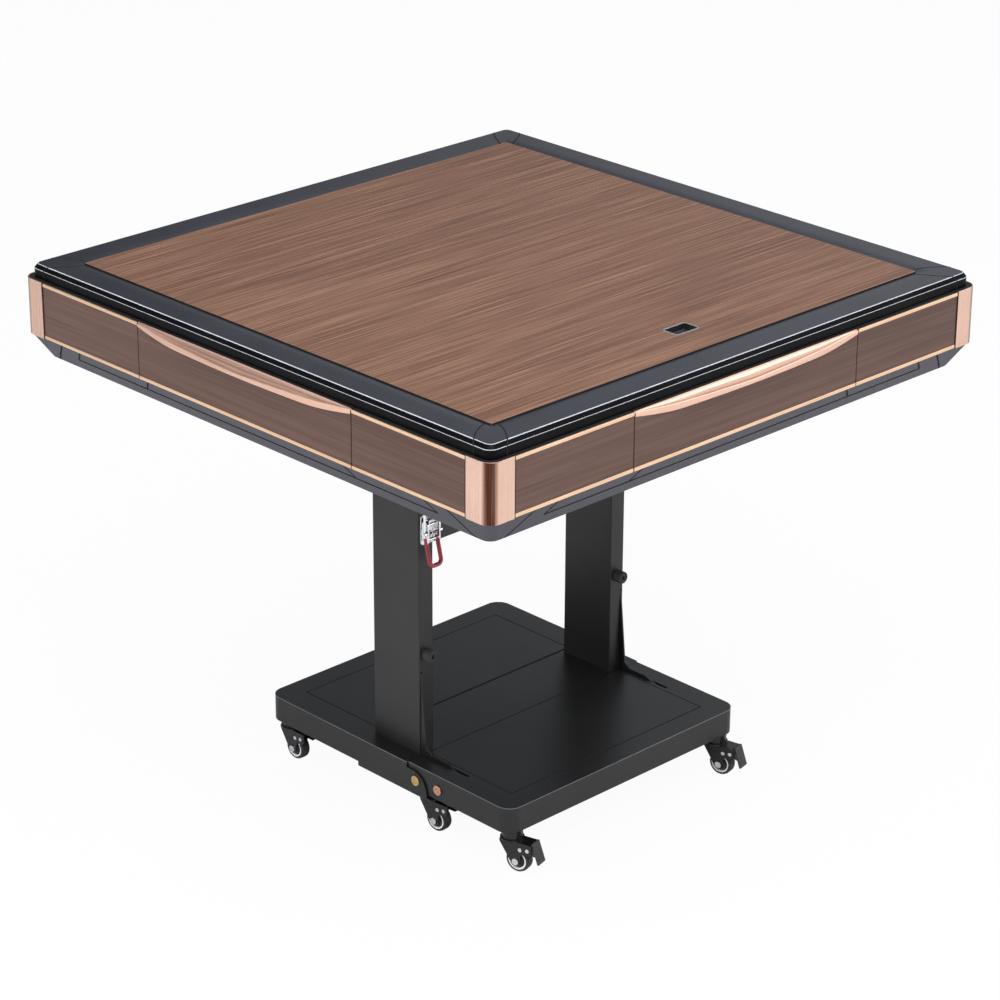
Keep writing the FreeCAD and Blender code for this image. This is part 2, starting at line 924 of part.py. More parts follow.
def make_caster_cups_rear():
    """Cups of the rear and middle casters."""
    inner_end = base_rear_reach - rail_end_width + base_sheet
    limits = (caster_x - mount_half, caster_x + mount_half, inner_end, base_rear_reach - base_sheet)
    room = rail_room(half_base, base_rear_reach, base_clearance, base_top)
    rear = caster_cup(caster_x, caster_rear_y, base_clearance, limits, room)
    middle = caster_cup(caster_x, caster_middle_y, foot_bottom, None)
    return group(both_sides(rear) + both_sides(middle))


def make_caster_cups_front():
    """Cups of the front casters."""
    inner_end = rail_end_width - base_front_reach - base_sheet
    limits = (caster_x - mount_half, caster_x + mount_half, base_sheet - base_front_reach, inner_end)
    room = rail_room(half_front, -base_front_reach, base_clearance, base_top)
    return group(both_sides(caster_cup(caster_x, caster_front_y, base_clearance, limits, room)))


def cross_bar(radius, half, back, height):
    """Round bar across a caster, in the caster's own frame."""
    return rod(radius, Vec(-half, -back, height), Vec(half, -back, height))


def fork_side():
    """One side plate of a caster fork, with its axle boss and rivets."""
    corners = [
        (fork_nose, fork_top, 0),
        (fork_nose, fork_nose_height, fork_edge),
        (fork_boss - caster_trail, wheel_radius - fork_boss_flat, fork_edge),
        (fork_boss_flat - caster_trail, wheel_radius - fork_boss, fork_edge),
        (-fork_boss_flat - caster_trail, wheel_radius - fork_boss, fork_edge),
        (-fork_boss - caster_trail, wheel_radius - fork_boss_flat, fork_edge),
        (-fork_leg_back, fork_arm_height, fork_edge),
        (-fork_arm_back, fork_arm_height, fork_edge),
        (-fork_tail, fork_tail_height, fork_edge),
        (-fork_tail, fork_top, 0),
    ]
    sheet = prism(corners, side_plane(fork_half), ALONG_X * fork_sheet)
    outer = fork_half + fork_sheet
    parts = [sheet]
    for back, level in ((rivet_back, rivet_level), (pedal_pivot_back, pedal_pivot_height)):
        parts.append(rod(rivet_radius, Vec(outer, -back, level), Vec(outer + rivet_height, -back, level)))
    return union(parts)


def make_fork(with_pedal):
    """Caster fork: side plates, top plate, bearing cup, kingpin, axle and, if braked, a pedal pin."""
    outer = fork_half + fork_sheet
    top = box(-outer, outer, -fork_plate_tail, fork_nose, fork_top - fork_plate, fork_top)
    cup = stem_bar(cup_radius, fork_top, fork_top + cup_step)
    cup_upper = stem_bar(cup_top_radius, fork_top + cup_step, fork_cap)
    kingpin = stem_bar(kingpin_radius, fork_cap, fork_cap + kingpin_reach)
    axle = cross_bar(axle_radius, outer, caster_trail, wheel_radius)
    head = cross_bar(axle_head_radius, outer + axle_head_height, caster_trail, wheel_radius)
    head = head.cut(box(-outer, outer, -fork_tail, fork_nose, 0, fork_top))
    parts = both_sides(fork_side()) + [top, cup, cup_upper, kingpin, axle] + head.Solids
    if with_pedal:
        parts.append(cross_bar(pedal_pin_radius, outer, pedal_pivot_back, pedal_pivot_height))
    return union(parts)


def make_pedal():
    """Brake pedal: a leaning ribbed plate on a short arm with a round eye."""
    half = pedal_half
    lean_back = pedal_low_back - pedal_top_back
    lean_drop = pedal_top_height - pedal_low_height
    length = math.hypot(lean_back, lean_drop)
    across_y = -pedal_sheet * lean_drop / length
    across_z = -pedal_sheet * lean_back / length
    corners = [
        (-pedal_top_back, pedal_top_height, pedal_edge),
        (-pedal_low_back, pedal_low_height, pedal_edge),
        (-pedal_low_back + across_y, pedal_low_height - across_z, pedal_edge),
        (-pedal_top_back + across_y, pedal_top_height - across_z, pedal_edge),
    ]
    tread = prism(corners, side_plane(-half), ALONG_X * half * 2)
    middle_y = -(pedal_top_back + pedal_low_back) / 2
    middle_z = (pedal_top_height + pedal_low_height) / 2
    reach = pedal_hub_radius
    arm_corners = [
        (-pedal_pivot_back, pedal_pivot_height + reach, 0),
        (middle_y, middle_z + reach, 0),
        (middle_y, middle_z - reach, 0),
        (-pedal_pivot_back, pedal_pivot_height - reach, 0),
    ]
    arm = prism(arm_corners, side_plane(-half), ALONG_X * half * 2)
    eye = cross_bar(pedal_hub_radius, half, pedal_pivot_back, pedal_pivot_height)
    bore = cross_bar(pedal_pin_radius + running_gap, half + cut_over, pedal_pivot_back, pedal_pivot_height)
    return union([tread, arm, eye]).cut(bore)


def make_wheel():
    """Caster wheel: tyre with rounded edges, dished faces, raised hub and bore."""
    half = wheel_width / 2
    tyre = cross_bar(wheel_radius, half, caster_trail, wheel_radius)
    tyre = tyre.makeFillet(wheel_edge, [edge for edge in tyre.Edges if len(edge.Vertexes) == 1])
    dish = cross_bar(wheel_dish_radius, half + cut_over, caster_trail, wheel_radius)
    web_half = half - wheel_dish_depth
    web = cross_bar(wheel_dish_radius + cut_over, web_half, caster_trail, wheel_radius)
    hub = cross_bar(wheel_hub_radius, half + wheel_hub_out, caster_trail, wheel_radius)
    bore = cross_bar(axle_radius + running_gap, half + cut_over, caster_trail, wheel_radius)
    return union([tyre.cut(dish.cut(web)), hub]).cut(bore)


def caster_places():
    """Name, place and resting turn of each caster."""
    places = []
    for side, way in (("left", -1), ("right", 1)):
        turn = front_left_turn if way < 0 else front_right_turn
        places.append(("rear_" + side, way * caster_x, caster_rear_y, 0, 0))
        places.append(("middle_" + side, way * caster_x, caster_middle_y, middle_turn, 0))
        places.append(("front_" + side, way * caster_x, caster_front_y, turn, 1))
    return places


def save_casters():
    """Forks, wheels and brake pedals of the six casters."""
    wheel = make_wheel()
    plain = make_fork(False)
    braked = make_fork(True)
    pedal = make_pedal()
    for name, x, y, turn, has_pedal in caster_places():
        save("caster_fork_" + name, moved(turned(braked if has_pedal else plain, turn), x, y, 0))
        save("caster_wheel_" + name, moved(turned(wheel, turn), x, y, 0))
        if has_pedal:
            save("brake_pedal_" + name.split("_")[1], moved(turned(pedal, turn), x, y, 0))


def shell_block(inset):
    """Solid block of the leaning lower shell, taken in by an even amount."""
    low = shell_bottom_half - inset
    high = shell_top_half - inset
    return square_loft(low, shell_bottom_radius - inset, head_bottom, high, shell_top_radius - inset, shell_top)


def shell_strip(t0, z0, t1, z1):
    """Narrow slab along one seam line of the -Y side."""
    length = math.hypot(t1 - t0, z1 - z0)
    half = shell_seam_width / 2
    across_t = -half * (z1 - z0) / length
    across_z = half * (t1 - t0) / length
    corners = [
        (t0 - across_t, z0 - across_z, 0),
        (t1 - across_t, z1 - across_z, 0),
        (t1 + across_t, z1 + across_z, 0),
        (t0 + across_t, z0 + across_z, 0),
    ]
    return prism(corners, front_plane(-half_body), ALONG_Y * (half_body - frame_outer_half))


def shell_seams():
    """Seam lines on all four sides of the lower shell."""
    level = head_bottom + shell_seam_rise
    high = shell_top + cut_over
    band = shell_band_half
    strips = [shell_strip(-band, level, band, level)]
    strips += both_sides(shell_strip(band, level, band - shell_band_lean, high))
    strips += both_sides(shell_strip(drawer_seam_low, level, drawer_seam_high, high))
    strips += both_sides(shell_strip(corner_seam_low, head_bottom, corner_seam_high, high))
    skin = shell_block(0).cut(shell_block(shell_seam_depth))
    return group([group(four_sides(strip)).common(skin) for strip in strips])


def shell_corner_zone():
    """Space of the four separate corner pieces of the lower shell."""
    reach = half_body
    corners = [
        (corner_seam_low, head_bottom, 0),
        (corner_seam_high, shell_top + cut_over, 0),
        (reach, shell_top + cut_over, 0),
        (reach, head_bottom, 0),
    ]
    wall = prism(corners, front_plane(-reach), ALONG_Y * reach)
    side = turned(prism(corners, front_plane(0), ALONG_Y * reach), -QUARTER)
    zone = wall.common(side)
    return group(four_sides(zone))


def hollow_shell():
    """Lower shell as one tray with the opening for the machine tub."""
    hollow = shell_block(shell_wall)
    floor = square_slab(half_body, 0, head_bottom, shell_floor)
    tray = shell_block(0).cut(hollow.cut(floor))
    gap_x = tub_half_x
    gap_y = tub_half_y
    opening = box(-gap_x, gap_x, -gap_y, gap_y, head_bottom - cut_over, shell_top)
    return tray.cut(opening)


def save_shell():
    """Lower shell and its four corner pieces, with seam lines."""
    tray = hollow_shell()
    zone = shell_corner_zone()
    seams = shell_seams()
    save("lower_shell", tray.cut(zone).cut(seams))
    save("shell_corners", tray.common(zone).cut(seams))


def fascia(t0, t1):
    """Panel of the -Y side between two places along it, rebated for its trims."""
    block = box(t0, t1, -panel_face, -panel_back, panel_bottom, panel_top)
    edge = trim_depth - panel_face
    high = box(t0 - cut_over, t1 + cut_over, -half_body, edge, panel_top - trim_height, panel_top + cut_over)
    low = box(t0 - cut_over, t1 + cut_over, -half_body, edge, panel_bottom - cut_over, panel_bottom + trim_height)
    return block.cut(group([high, low]))


def trim(t0, t1, z0):
    """Metal strip in the edge of a panel of the -Y side."""
    return box(t0, t1, -panel_face - trim_proud, trim_depth - panel_face, z0, z0 + trim_height)


def save_panels():
    """Fixed panels beside each drawer, and their trims."""
    start = half_drawer + drawer_gap
    panels = []
    trims = []
    for panel in both_sides(fascia(start, panel_end)):
        panels += four_sides(panel)
    for level in (panel_bottom, panel_top - trim_height):
        for strip in both_sides(trim(start, panel_end, level)):
            trims += four_sides(strip)
    save("side_panels", group(panels))
    save("panel_trims", group(trims))


def make_corner_caps():
    """Tall corner caps: a thin outer skin over a thicker block."""
    low = panel_bottom - cap_over
    high = panel_top + cap_over
    skin = square_slab(half_body, cap_radius, low, high)
    inner = half_body - cap_skin
    skin = skin.cut(square_slab(inner, cap_radius - cap_skin, low - cut_over, high + cut_over))
    block = square_slab(inner, cap_radius - cap_skin, panel_bottom, panel_top)
    block = block.cut(square_slab(panel_back, 0, panel_bottom - cut_over, panel_top + cut_over))
    zone = box(panel_end, half_body, panel_end, half_body, low, high)
    return group(four_sides(union([skin, block]).common(zone)))


def drawer_pull():
    """Bulging pull along the top of a drawer front, scooped for the fingers."""
    half = half_drawer
    face = panel_face
    bulge = Part.Arc(Vec(-half, -face, pull_bottom), Vec(0, -face - pull_bulge, pull_bottom), Vec(half, -face, pull_bottom))
    back = trim_depth - face
    sides = [
        Part.makeLine(Vec(half, -face, pull_bottom), Vec(half, back, pull_bottom)),
        Part.makeLine(Vec(half, back, pull_bottom), Vec(-half, back, pull_bottom)),
        Part.makeLine(Vec(-half, back, pull_bottom), Vec(-half, -face, pull_bottom)),
    ]
    block = Part.Face(Part.Wire([bulge.toShape()] + sides)).extrude(ALONG_Z * pull_mid_height)
    end_z = panel_top - pull_end_height
    front = -half_body - pull_bulge
    low = pull_bottom - cut_over
    under = Part.Arc(Vec(-half, front, end_z), Vec(0, front, pull_bottom), Vec(half, front, end_z))
    legs = [
        Part.makeLine(Vec(half, front, end_z), Vec(half, front, low)),
        Part.makeLine(Vec(half, front, low), Vec(-half, front, low)),
        Part.makeLine(Vec(-half, front, low), Vec(-half, front, end_z)),
    ]
    below = Part.Face(Part.Wire([under.toShape()] + legs)).extrude(ALONG_Y * (half_body + pull_bulge + back))
    scoop_y = -face - pull_scoop_out
    scoop_z = panel_top + pull_scoop_rise
    scoop = rod(pull_scoop_radius, Vec(-half, scoop_y, scoop_z), Vec(half, scoop_y, scoop_z))
    return block.cut(below), block.cut(below).cut(scoop)


def drawer_tray():
    """Open box behind a drawer front."""
    wall = tray_wall
    half = tray_half
    low = tray_bottom
    back = tray_depth - drawer_back
    tray = box(-half, half, -drawer_back, back, low, low + tray_height)
    hollow = box(wall - half, half - wall, wall - drawer_back, back - wall, low + wall, low + tray_height + cut_over)
    return tray.cut(hollow)


def make_drawer():
    """Drawer of the -Y side: tray, front, bottom trim and pull."""
    half = half_drawer
    whole_pull, pull = drawer_pull()
    block = box(-half, half, -panel_face, -drawer_back, panel_bottom, panel_top)
    edge = trim_depth - panel_face
    low = box(-half - cut_over, half + cut_over, -half_body, edge, panel_bottom - cut_over, panel_bottom + trim_height)
    front = block.cut(group([low, whole_pull]))
    strip = trim(-half, half, panel_bottom)
    return group([front, strip, pull, drawer_tray()])


def save_drawers():
    """The four drawers."""
    drawer = make_drawer()
    for side, name in enumerate(("front", "right", "back", "left")):
        save("drawer_" + name, turned(drawer, QUARTER * side))


def runner_pair():
    """Two runners of the -Y drawer, on legs from the head frame."""
    low = tray_bottom - runner_gap
    outer = tray_half + runner_gap
    y0 = -rim_outer_half
    y1 = -frame_inner_half
    rail = box(outer, outer + runner_width, y0, y1, low - runner_sheet, low + runner_height)
    ledge = box(tray_half - runner_ledge, outer, y0, y1, low - runner_sheet, low)
    shape = [rail, ledge]
    for near in (-frame_outer_half, -frame_inner_half - runner_leg):
        shape.append(box(tray_half - runner_ledge, outer + runner_width, near, near + runner_leg, frame_top, low))
    return both_sides(union(shape))


def make_runners():
    """Runners of all four drawers."""
    runners = []
    for runner in runner_pair():
        runners += four_sides(runner)
    return group(runners)


def frame_bar(half_length, y0, width):
    """Square tube along X, on the shell floor."""
    wall = frame_wall
    tube = box(-half_length, half_length, y0, y0 + width, shell_floor, frame_top)
    return tube.cut(box(-half_length, half_length, y0 + wall, y0 + width - wall, shell_floor + wall, frame_top - wall))


def frame_ring(half):
    """Four tubes around a square."""
    end = frame_bar(half, -half, frame_tube)
    side = turned(frame_bar(half - frame_tube, -half, frame_tube), QUARTER)
    return [end, turned(end, QUARTER * 2), side, turned(side, QUARTER * 2)]


def lift_guide():
    """Guide block of the -Y tile lift, fixed to the inner ring."""
    half = lift_guide_half
    hole = lift_rod / 2 + lift_guide_gap
    block = box(-half, half, frame_tube - frame_inner_half, -guide_inner, shell_floor, lift_guide_top)
    top = lift_guide_top + cut_over
    return block.cut(box(-hole, hole, -slot_distance - hole, hole - slot_distance, shell_floor, top))


def make_head_frame():
    """Frame that carries the head: two rings, two beams, corner posts and lift guides."""
    reach = frame_outer_half - frame_tube
    beam = turned(frame_bar(reach, -column_centre - beam_width / 2, beam_width), QUARTER)
    beams = [beam, turned(beam, QUARTER * 2)]
    space = box(column_centre - beam_width / 2, column_centre + beam_width / 2, -reach, reach, shell_floor, frame_top)
    inner = group(frame_ring(frame_inner_half)).cut(group(both_sides(space)))
    post = box(reach, frame_outer_half, reach, frame_outer_half, frame_top, board_bottom)
    return group(frame_ring(frame_outer_half) + [inner] + beams + four_sides(post) + four_sides(lift_guide()))


def make_table_rim():
    """Frame around the play board, with corner pads that carry the cover."""
    ring = square_slab(rim_outer_half, 0, rim_bottom, rim_top)
    ring = ring.cut(square_slab(rim_inner_half, 0, rim_bottom - cut_over, rim_top + cut_over))
    pad = box(pad_inner, pad_outer, pad_inner, pad_outer, rim_top, rim_top + pad_height)
    return union([ring] + four_sides(pad))


def make_play_board():
    """Play board with the tile slots and the hole for the centre unit."""
    base = square_slab(rim_outer_half, 0, board_bottom, rim_bottom)
    raised = square_slab(rim_inner_half - rim_play_gap, 0, rim_bottom, play_top)
    half = slot_half
    low = board_bottom - cut_over
    high = play_top + cut_over
    slot = box(-half, half, -slot_distance - slot_width / 2, slot_width / 2 - slot_distance, low, high)
    hole = rod(centre_hole_radius, Vec(0, 0, low), Vec(0, 0, high))
    return union([base, raised]).cut(group(four_sides(slot) + [hole]))


def make_tile_lifts():
    """Four platforms that raise the built walls, each on a square rod."""
    top = play_top - lift_travel
    half = slot_half - lift_gap
    across = slot_width / 2 - lift_gap
    rod_half = lift_rod / 2
    deck = box(-half, half, -slot_distance - across, across - slot_distance, top - lift_sheet, top)
    stem = box(-rod_half, rod_half, -slot_distance - rod_half, rod_half - slot_distance, lift_rod_bottom, top)
    return group(four_sides(union([deck, stem])))


def make_centre_unit():
    """Bridge over the tub, centre post, round housing and buttons."""
    bottom = play_top - centre_height
    half = bridge_half
    bridge_low = shell_floor + tub_flange_sheet
    bridge_high = bridge_low + bridge_sheet
    bridge = box(-half, half, -bridge_reach, bridge_reach, bridge_low, bridge_high)
    foot = box(-half, half, bridge_reach - bridge_foot, bridge_reach, shell_floor, bridge_high)
    collar = stem_bar(centre_collar_radius, bridge_high, pulley_bottom - belt_gap)
    post = stem_bar(centre_post_radius, bridge_high, bottom + centre_wall)
    shell = stem_bar(centre_radius, bottom, play_top)
    hollow = stem_bar(centre_radius - centre_wall, bottom + centre_wall, play_top - centre_wall)
    mouth = stem_bar(centre_opening, play_top - centre_wall, play_top + cut_over)
    housing = shell.cut(union([hollow, mouth]))
    button = moved(stem_bar(button_radius, play_top, play_top + button_rise), 0, -button_place, 0)
    return union([bridge, foot, turned(foot, QUARTER * 2), collar, post, housing] + four_sides(button))


def make_dome():
    """Clear cap over the dice tray in the centre unit."""
    radius = (dome_radius ** 2 + dome_rise ** 2) / (2 * dome_rise)
    outer = Part.makeSphere(radius, Vec(0, 0, play_top + dome_rise - radius))
    inner = Part.makeSphere(radius - dome_wall, Vec(0, 0, play_top + dome_rise - radius))
    keep = stem_bar(dome_radius + cut_over, play_top, play_top + dome_rise + cut_over)
    return outer.cut(inner).common(keep)


def make_turntable():
    """Turntable with ribs, hub and pulley, turning on the centre post."""
    low = turntable_height
    top = low + turntable_sheet
    disc = stem_bar(turntable_radius, low, top)
    hub = stem_bar(turntable_hub_radius, pulley_top, low)
    pulley = stem_bar(pulley_radius, pulley_bottom, pulley_top)
    half = rib_width / 2
    rib = box(turntable_hub_radius, turntable_radius - rib_width, -half, half, top, top + rib_height)
    ribs = [turned(rib, rib_angle * index) for index in range(rib_count)]
    bore = stem_bar(centre_post_radius + running_gap, pulley_bottom - cut_over, top + cut_over)
    return union([disc, hub, pulley] + ribs).cut(bore)


def motor_bar(radius, z0, z1):
    """Round bar on the motor's upright axis."""
    return moved(stem_bar(radius, z0, z1), -motor_distance, 0, 0)


def make_motor():
    """Drive motor with ribs and shaft, standing on the tub floor."""
    top = tub_floor + motor_height
    body = motor_bar(motor_radius, tub_floor, top)
    half = motor_fin_width / 2
    fin = box(0, motor_radius + motor_fin, -half, half, tub_floor + motor_edge, top - motor_edge)
    fins = [moved(turned(fin, motor_fin_angle * index), -motor_distance, 0, 0) for index in range(motor_fin_count)]
    return union([body, motor_bar(motor_shaft_radius, top, pulley_top)] + fins)


def make_motor_pulley():
    """Small pulley on the motor shaft."""
    wheel = motor_bar(motor_pulley_radius, pulley_bottom, pulley_top)
    bore = motor_bar(motor_shaft_radius + running_gap, pulley_bottom - cut_over, pulley_top + cut_over)
    return wheel.cut(bore)


def belt_outline(extra, z0, z1):
    """Solid bounded by the belt path around both pulleys, taken out by an even amount."""
    big = pulley_radius + extra
    small = motor_pulley_radius + extra
    share = (big - small) / motor_distance
    along = share
    across = math.sqrt(1 - share ** 2)
    corners = [
        Vec(-big * along, big * across, z0),
        Vec(-motor_distance - small * along, small * across, z0),
        Vec(-motor_distance - small * along, -small * across, z0),
        Vec(-big * along, -big * across, z0),
    ]
    straight = Part.Face(Part.makePolygon(corners + corners[:1])).extrude(ALONG_Z * (z1 - z0))
    return union([straight, stem_bar(big, z0, z1), motor_bar(small, z0, z1)])


def make_belt():
    """Drive belt between the motor pulley and the turntable pulley."""
    z0 = pulley_bottom + belt_edge_gap
    z1 = pulley_top - belt_edge_gap
    inner = belt_outline(belt_gap, z0 - cut_over, z1 + cut_over)
    return belt_outline(belt_gap + belt_thickness, z0, z1).cut(inner)


def make_bowl():
    """Ring around the turntable, with four outlets for tiles."""
    top = frame_top + bowl_height
    ring = stem_bar(bowl_inner + bowl_wall, frame_top, top)
    flange = stem_bar(bowl_inner + bowl_wall + bowl_flange, frame_top, frame_top + frame_wall)
    ring = union([ring, flange]).cut(stem_bar(bowl_inner, frame_top - cut_over, top + cut_over))
    half = bowl_outlet_width / 2
    low = frame_top + bowl_outlet_low
    outlet = box(turntable_radius, bowl_inner + bowl_wall + cut_over, -half, half, low, low + bowl_outlet_height)
    return ring.cut(group(four_sides(turned(outlet, bowl_outlet_angle))))


def tub_sheets():
    """Sheets of the tub: floor, end walls, and side walls with their flanges."""
    x, y, wall = tub_half_x, tub_half_y, tub_wall
    high = shell_floor
    far = y + tub_flange
    floor = box(-x, x, -y, y, tub_bottom, tub_floor)
    front = box(-x, x, -y, wall - y, tub_floor, high)
    side = box(x - wall, x, wall - y, y - wall, tub_floor, high)
    flange_top = high + tub_flange_sheet
    end_flange = box(-x - tub_flange, x + tub_flange, -far, wall - y, high, flange_top)
    side_flange = box(x - wall, x + tub_flange, wall - y, y - wall, high, flange_top)
    fronts = [front, end_flange]
    backs = [turned(shape, QUARTER * 2) for shape in fronts]
    return [floor] + fronts + both_sides(side) + both_sides(side_flange), backs


def make_tub():
    """Machine tub hanging from the shell floor, with the power inlet on its rear wall."""
    y, wall = tub_half_y, tub_wall
    z0 = tub_bottom + inlet_low
    z1 = z0 + inlet_height
    edge = inlet_edge
    hole = box(edge - inlet_half, inlet_half - edge, y - wall - cut_over, y + cut_over, z0 + edge, z1 - edge)
    sheets, backs = tub_sheets()
    return group(sheets + [group(backs).cut(hole)] + power_inlet(z0, z1))


def power_inlet(z0, z1):
    """Inlet plate with a recessed socket, three pins and a rocker switch."""
    wall_outer = tub_half_y
    half = inlet_half
    edge = inlet_edge
    face = wall_outer + inlet_sheet
    front = prism(rectangle(-half, half, z0, z1, inlet_radius), front_plane(wall_outer), ALONG_Y * inlet_sheet)
    body = box(edge - half, half - edge, wall_outer - inlet_body, wall_outer, z0 + edge, z1 - edge)
    middle = (z0 + z1) / 2
    x = socket_shift
    low = middle - socket_height / 2
    high = middle + socket_height / 2
    floor = face - socket_depth
    socket = box(x - socket_half, x + socket_half, floor, face + cut_over, low, high)
    block = union([front, body]).cut(socket)
    for place in (x - socket_pin * 2, x, x + socket_pin * 2):
        block = block.fuse(box(place, place + socket_pin / 2, floor, floor + socket_pin_length, middle, middle + socket_pin))
    low = middle - rocker_height / 2
    rocker = box(-rocker_shift - rocker_half, rocker_half - rocker_shift, face, face + rocker_proud, low, low + rocker_height)
    return [block.removeSplitter(), rocker]


def make_control_board():
    """Circuit board on short feet with its larger parts, on the tub floor."""
    low = tub_floor + unit_foot_height
    top = low + unit_sheet
    board = box(unit_near, unit_far, -unit_half_y, unit_half_y, low, top)
    inset = unit_block_inset
    block = box(unit_near + inset, unit_far - inset, inset - unit_half_y, -inset, top, top + unit_block_height)
    parts = [board, block]
    for x in (unit_near, unit_far - unit_foot):
        for y in (-unit_half_y, unit_half_y - unit_foot):
            parts.append(box(x, x + unit_foot, y, y + unit_foot, tub_floor, low))
    for index in range(3):
        x = unit_near + inset + index * (unit_part_width + inset)
        parts.append(box(x, x + unit_part_width, inset, inset + unit_part_width, top, top + unit_part_height))
    return union(parts)


def swing_cheek(x):
    """Plate beside a column lug, with the bore of the pivot pin."""
    low = column_top + cheek_bottom_rise
    rear = pivot_y + cheek_rear
    corners = [
        (swing_face, low, swing_edge),
        (rear, low, pivot_lug_radius),
        (rear, head_bottom, 0),
        (swing_face, head_bottom, 0),
    ]
    return prism(corners, side_plane(x), ALONG_X * cheek_sheet)


def swing_side():
    """Front plate, cheeks, top flange and pivot pin of the X > 0 side."""
    x0 = column_inner - swing_edge
    x1 = column_outer + swing_edge
    front = box(x0, x1, swing_face, swing_back, swing_bottom, head_bottom)
    flange = box(x0, x1, swing_face, swing_flange_rear, head_bottom - swing_flange, head_bottom)
    inner = swing_cheek(column_centre - pivot_lug_half - touch_gap - cheek_sheet)
    outer = swing_cheek(column_centre + pivot_lug_half + touch_gap)
    return union([front, flange, inner, outer]).cut(pivot_bar(pivot_radius, x0 - cut_over, x1 + cut_over))


def latch_tongue():
    """Strip of the front plate that runs down behind the latch."""
    half = latch_plate_width / 2
    shape = rectangle(column_centre - half, column_centre + half, latch_plate_bottom, head_bottom, 0)
    return prism(shape, front_plane(swing_face), ALONG_Y * swing_sheet)


def make_swing_frame():
    """Welded brackets under the head that turn on the columns; the left one carries the latch."""
    right = swing_side()
    half = window_width / 2
    low = window_bottom
    window = rectangle(column_centre - half, column_centre + half, low, low + window_height, swing_edge)
    hole = prism(window, front_plane(swing_face - cut_over), ALONG_Y * (swing_sheet + cut_over * 2))
    left = union([right, latch_tongue()]).cut(hole)
    reach = pivot_lug_half + touch_gap + cheek_sheet
    pin = pivot_bar(pivot_radius, column_centre - reach, column_centre + reach)
    return group([right, mirrored(left)] + both_sides(pin))


def latch_bar(radius, half, out, height):
    """Round bar across a latch, on the X > 0 side."""
    y = swing_face - out
    return rod(radius, Vec(column_centre - half, y, height), Vec(column_centre + half, y, height))


def make_latch_base():
    """Base plate of the latch with two ears and the lever pin."""
    half = latch_plate_width / 2
    low = latch_plate_bottom
    high = low + latch_plate_height
    corners = rectangle(column_centre - half, column_centre + half, low, high, swing_edge)
    base = prism(corners, front_plane(latch_face), ALONG_Y * latch_sheet)
    ear_low = latch_pivot_height - latch_ear_height / 2
    ear_high = latch_pivot_height + latch_ear_height / 2
    out = latch_face - latch_ear_out
    ears = []
    for x in (column_centre - latch_ear_half, column_centre + latch_ear_half - latch_sheet):
        corners = [
            (latch_face, ear_low, 0),
            (out, ear_low, latch_ear_out / 2),
            (out, ear_high, latch_ear_out / 2),
            (latch_face, ear_high, 0),
        ]
        ears.append(prism(corners, side_plane(x), ALONG_X * latch_sheet))
    pin = latch_bar(latch_pin_radius, bean_near + bean_sheet, latch_pivot_out, latch_pivot_height)
    return mirrored(union([base, pin] + ears))


def wire_through(points, bend, radius):
    """Round bar that follows straight runs with rounded bends."""
    edges = []
    start = points[0]
    for index in range(1, len(points) - 1):
        here = points[index]
        before = (points[index - 1] - here).normalize()
        after = (points[index + 1] - here).normalize()
        first, middle, last = corner_arc(here, before, after, bend)
        edges.append(Part.makeLine(start, first))
        edges.append(Part.Arc(first, middle, last).toShape())
        start = last
    edges.append(Part.makeLine(start, points[-1]))
    path = Part.Wire(edges)
    ring = Part.Wire([Part.makeCircle(radius, points[0], points[1] - points[0])])
    return path.makePipeShell([ring], True, False)


def make_lever():
    """Latch lever: two side plates, a stay and the covered grip loop."""
    pivot = Vec(column_centre, swing_face - latch_pivot_out, latch_pivot_height)
    lean = math.radians(bean_lean)
    foot_y = pivot.y - bean_length * math.sin(lean)
    foot_z = pivot.z - bean_length * math.cos(lean)
    wide_y = bean_radius * math.cos(lean)
    wide_z = bean_radius * math.sin(lean)
    corners = [
        (pivot.y + wide_y, pivot.z - wide_z, 0),
        (foot_y + wide_y, foot_z - wide_z, 0),
        (foot_y - wide_y, foot_z + wide_z, 0),
        (pivot.y - wide_y, pivot.z + wide_z, 0),
    ]
    sides = []
    for x in (column_centre - bean_near - bean_sheet, column_centre + bean_near):
        run = ALONG_X * bean_sheet
        strip = prism(corners, side_plane(x), run)
        top = rod(bean_radius, Vec(x, pivot.y, pivot.z), Vec(x, pivot.y, pivot.z) + run)
        foot = rod(bean_radius, Vec(x, foot_y, foot_z), Vec(x, foot_y, foot_z) + run)
        sides += [strip, top, foot]
    stay = rod(latch_pin_radius, Vec(column_centre - bean_near, foot_y, foot_z), Vec(column_centre + bean_near, foot_y, foot_z))
    plates = union(sides + [stay])
    bore = latch_bar(latch_pin_radius + running_gap, bail_half, latch_pivot_out, latch_pivot_height)
    plates = plates.cut(bore)
    low_y = foot_y - grip_lean
    low_z = foot_z - grip_length
    share = grip_start / grip_length
    points = []
    for way in (-1, 1):
        x = column_centre + way * grip_half
        run = [Vec(x, foot_y + grip_lean * share, foot_z + grip_start), Vec(x, low_y, low_z)]
        points += run if way < 0 else run[::-1]
    grip = wire_through(points, grip_bend, grip_radius)
    studs = []
    y = swing_face - bail_pivot_out
    for way in (-1, 1):
        start = Vec(column_centre + way * (bean_near + bean_sheet / 2), y, bail_pivot_height)
        studs.append(rod(latch_pin_radius, start, Vec(column_centre + way * bail_stud_end, y, bail_pivot_height)))
    plates = union([plates] + studs)
    return mirrored(group([plates, grip.cut(plates)]))


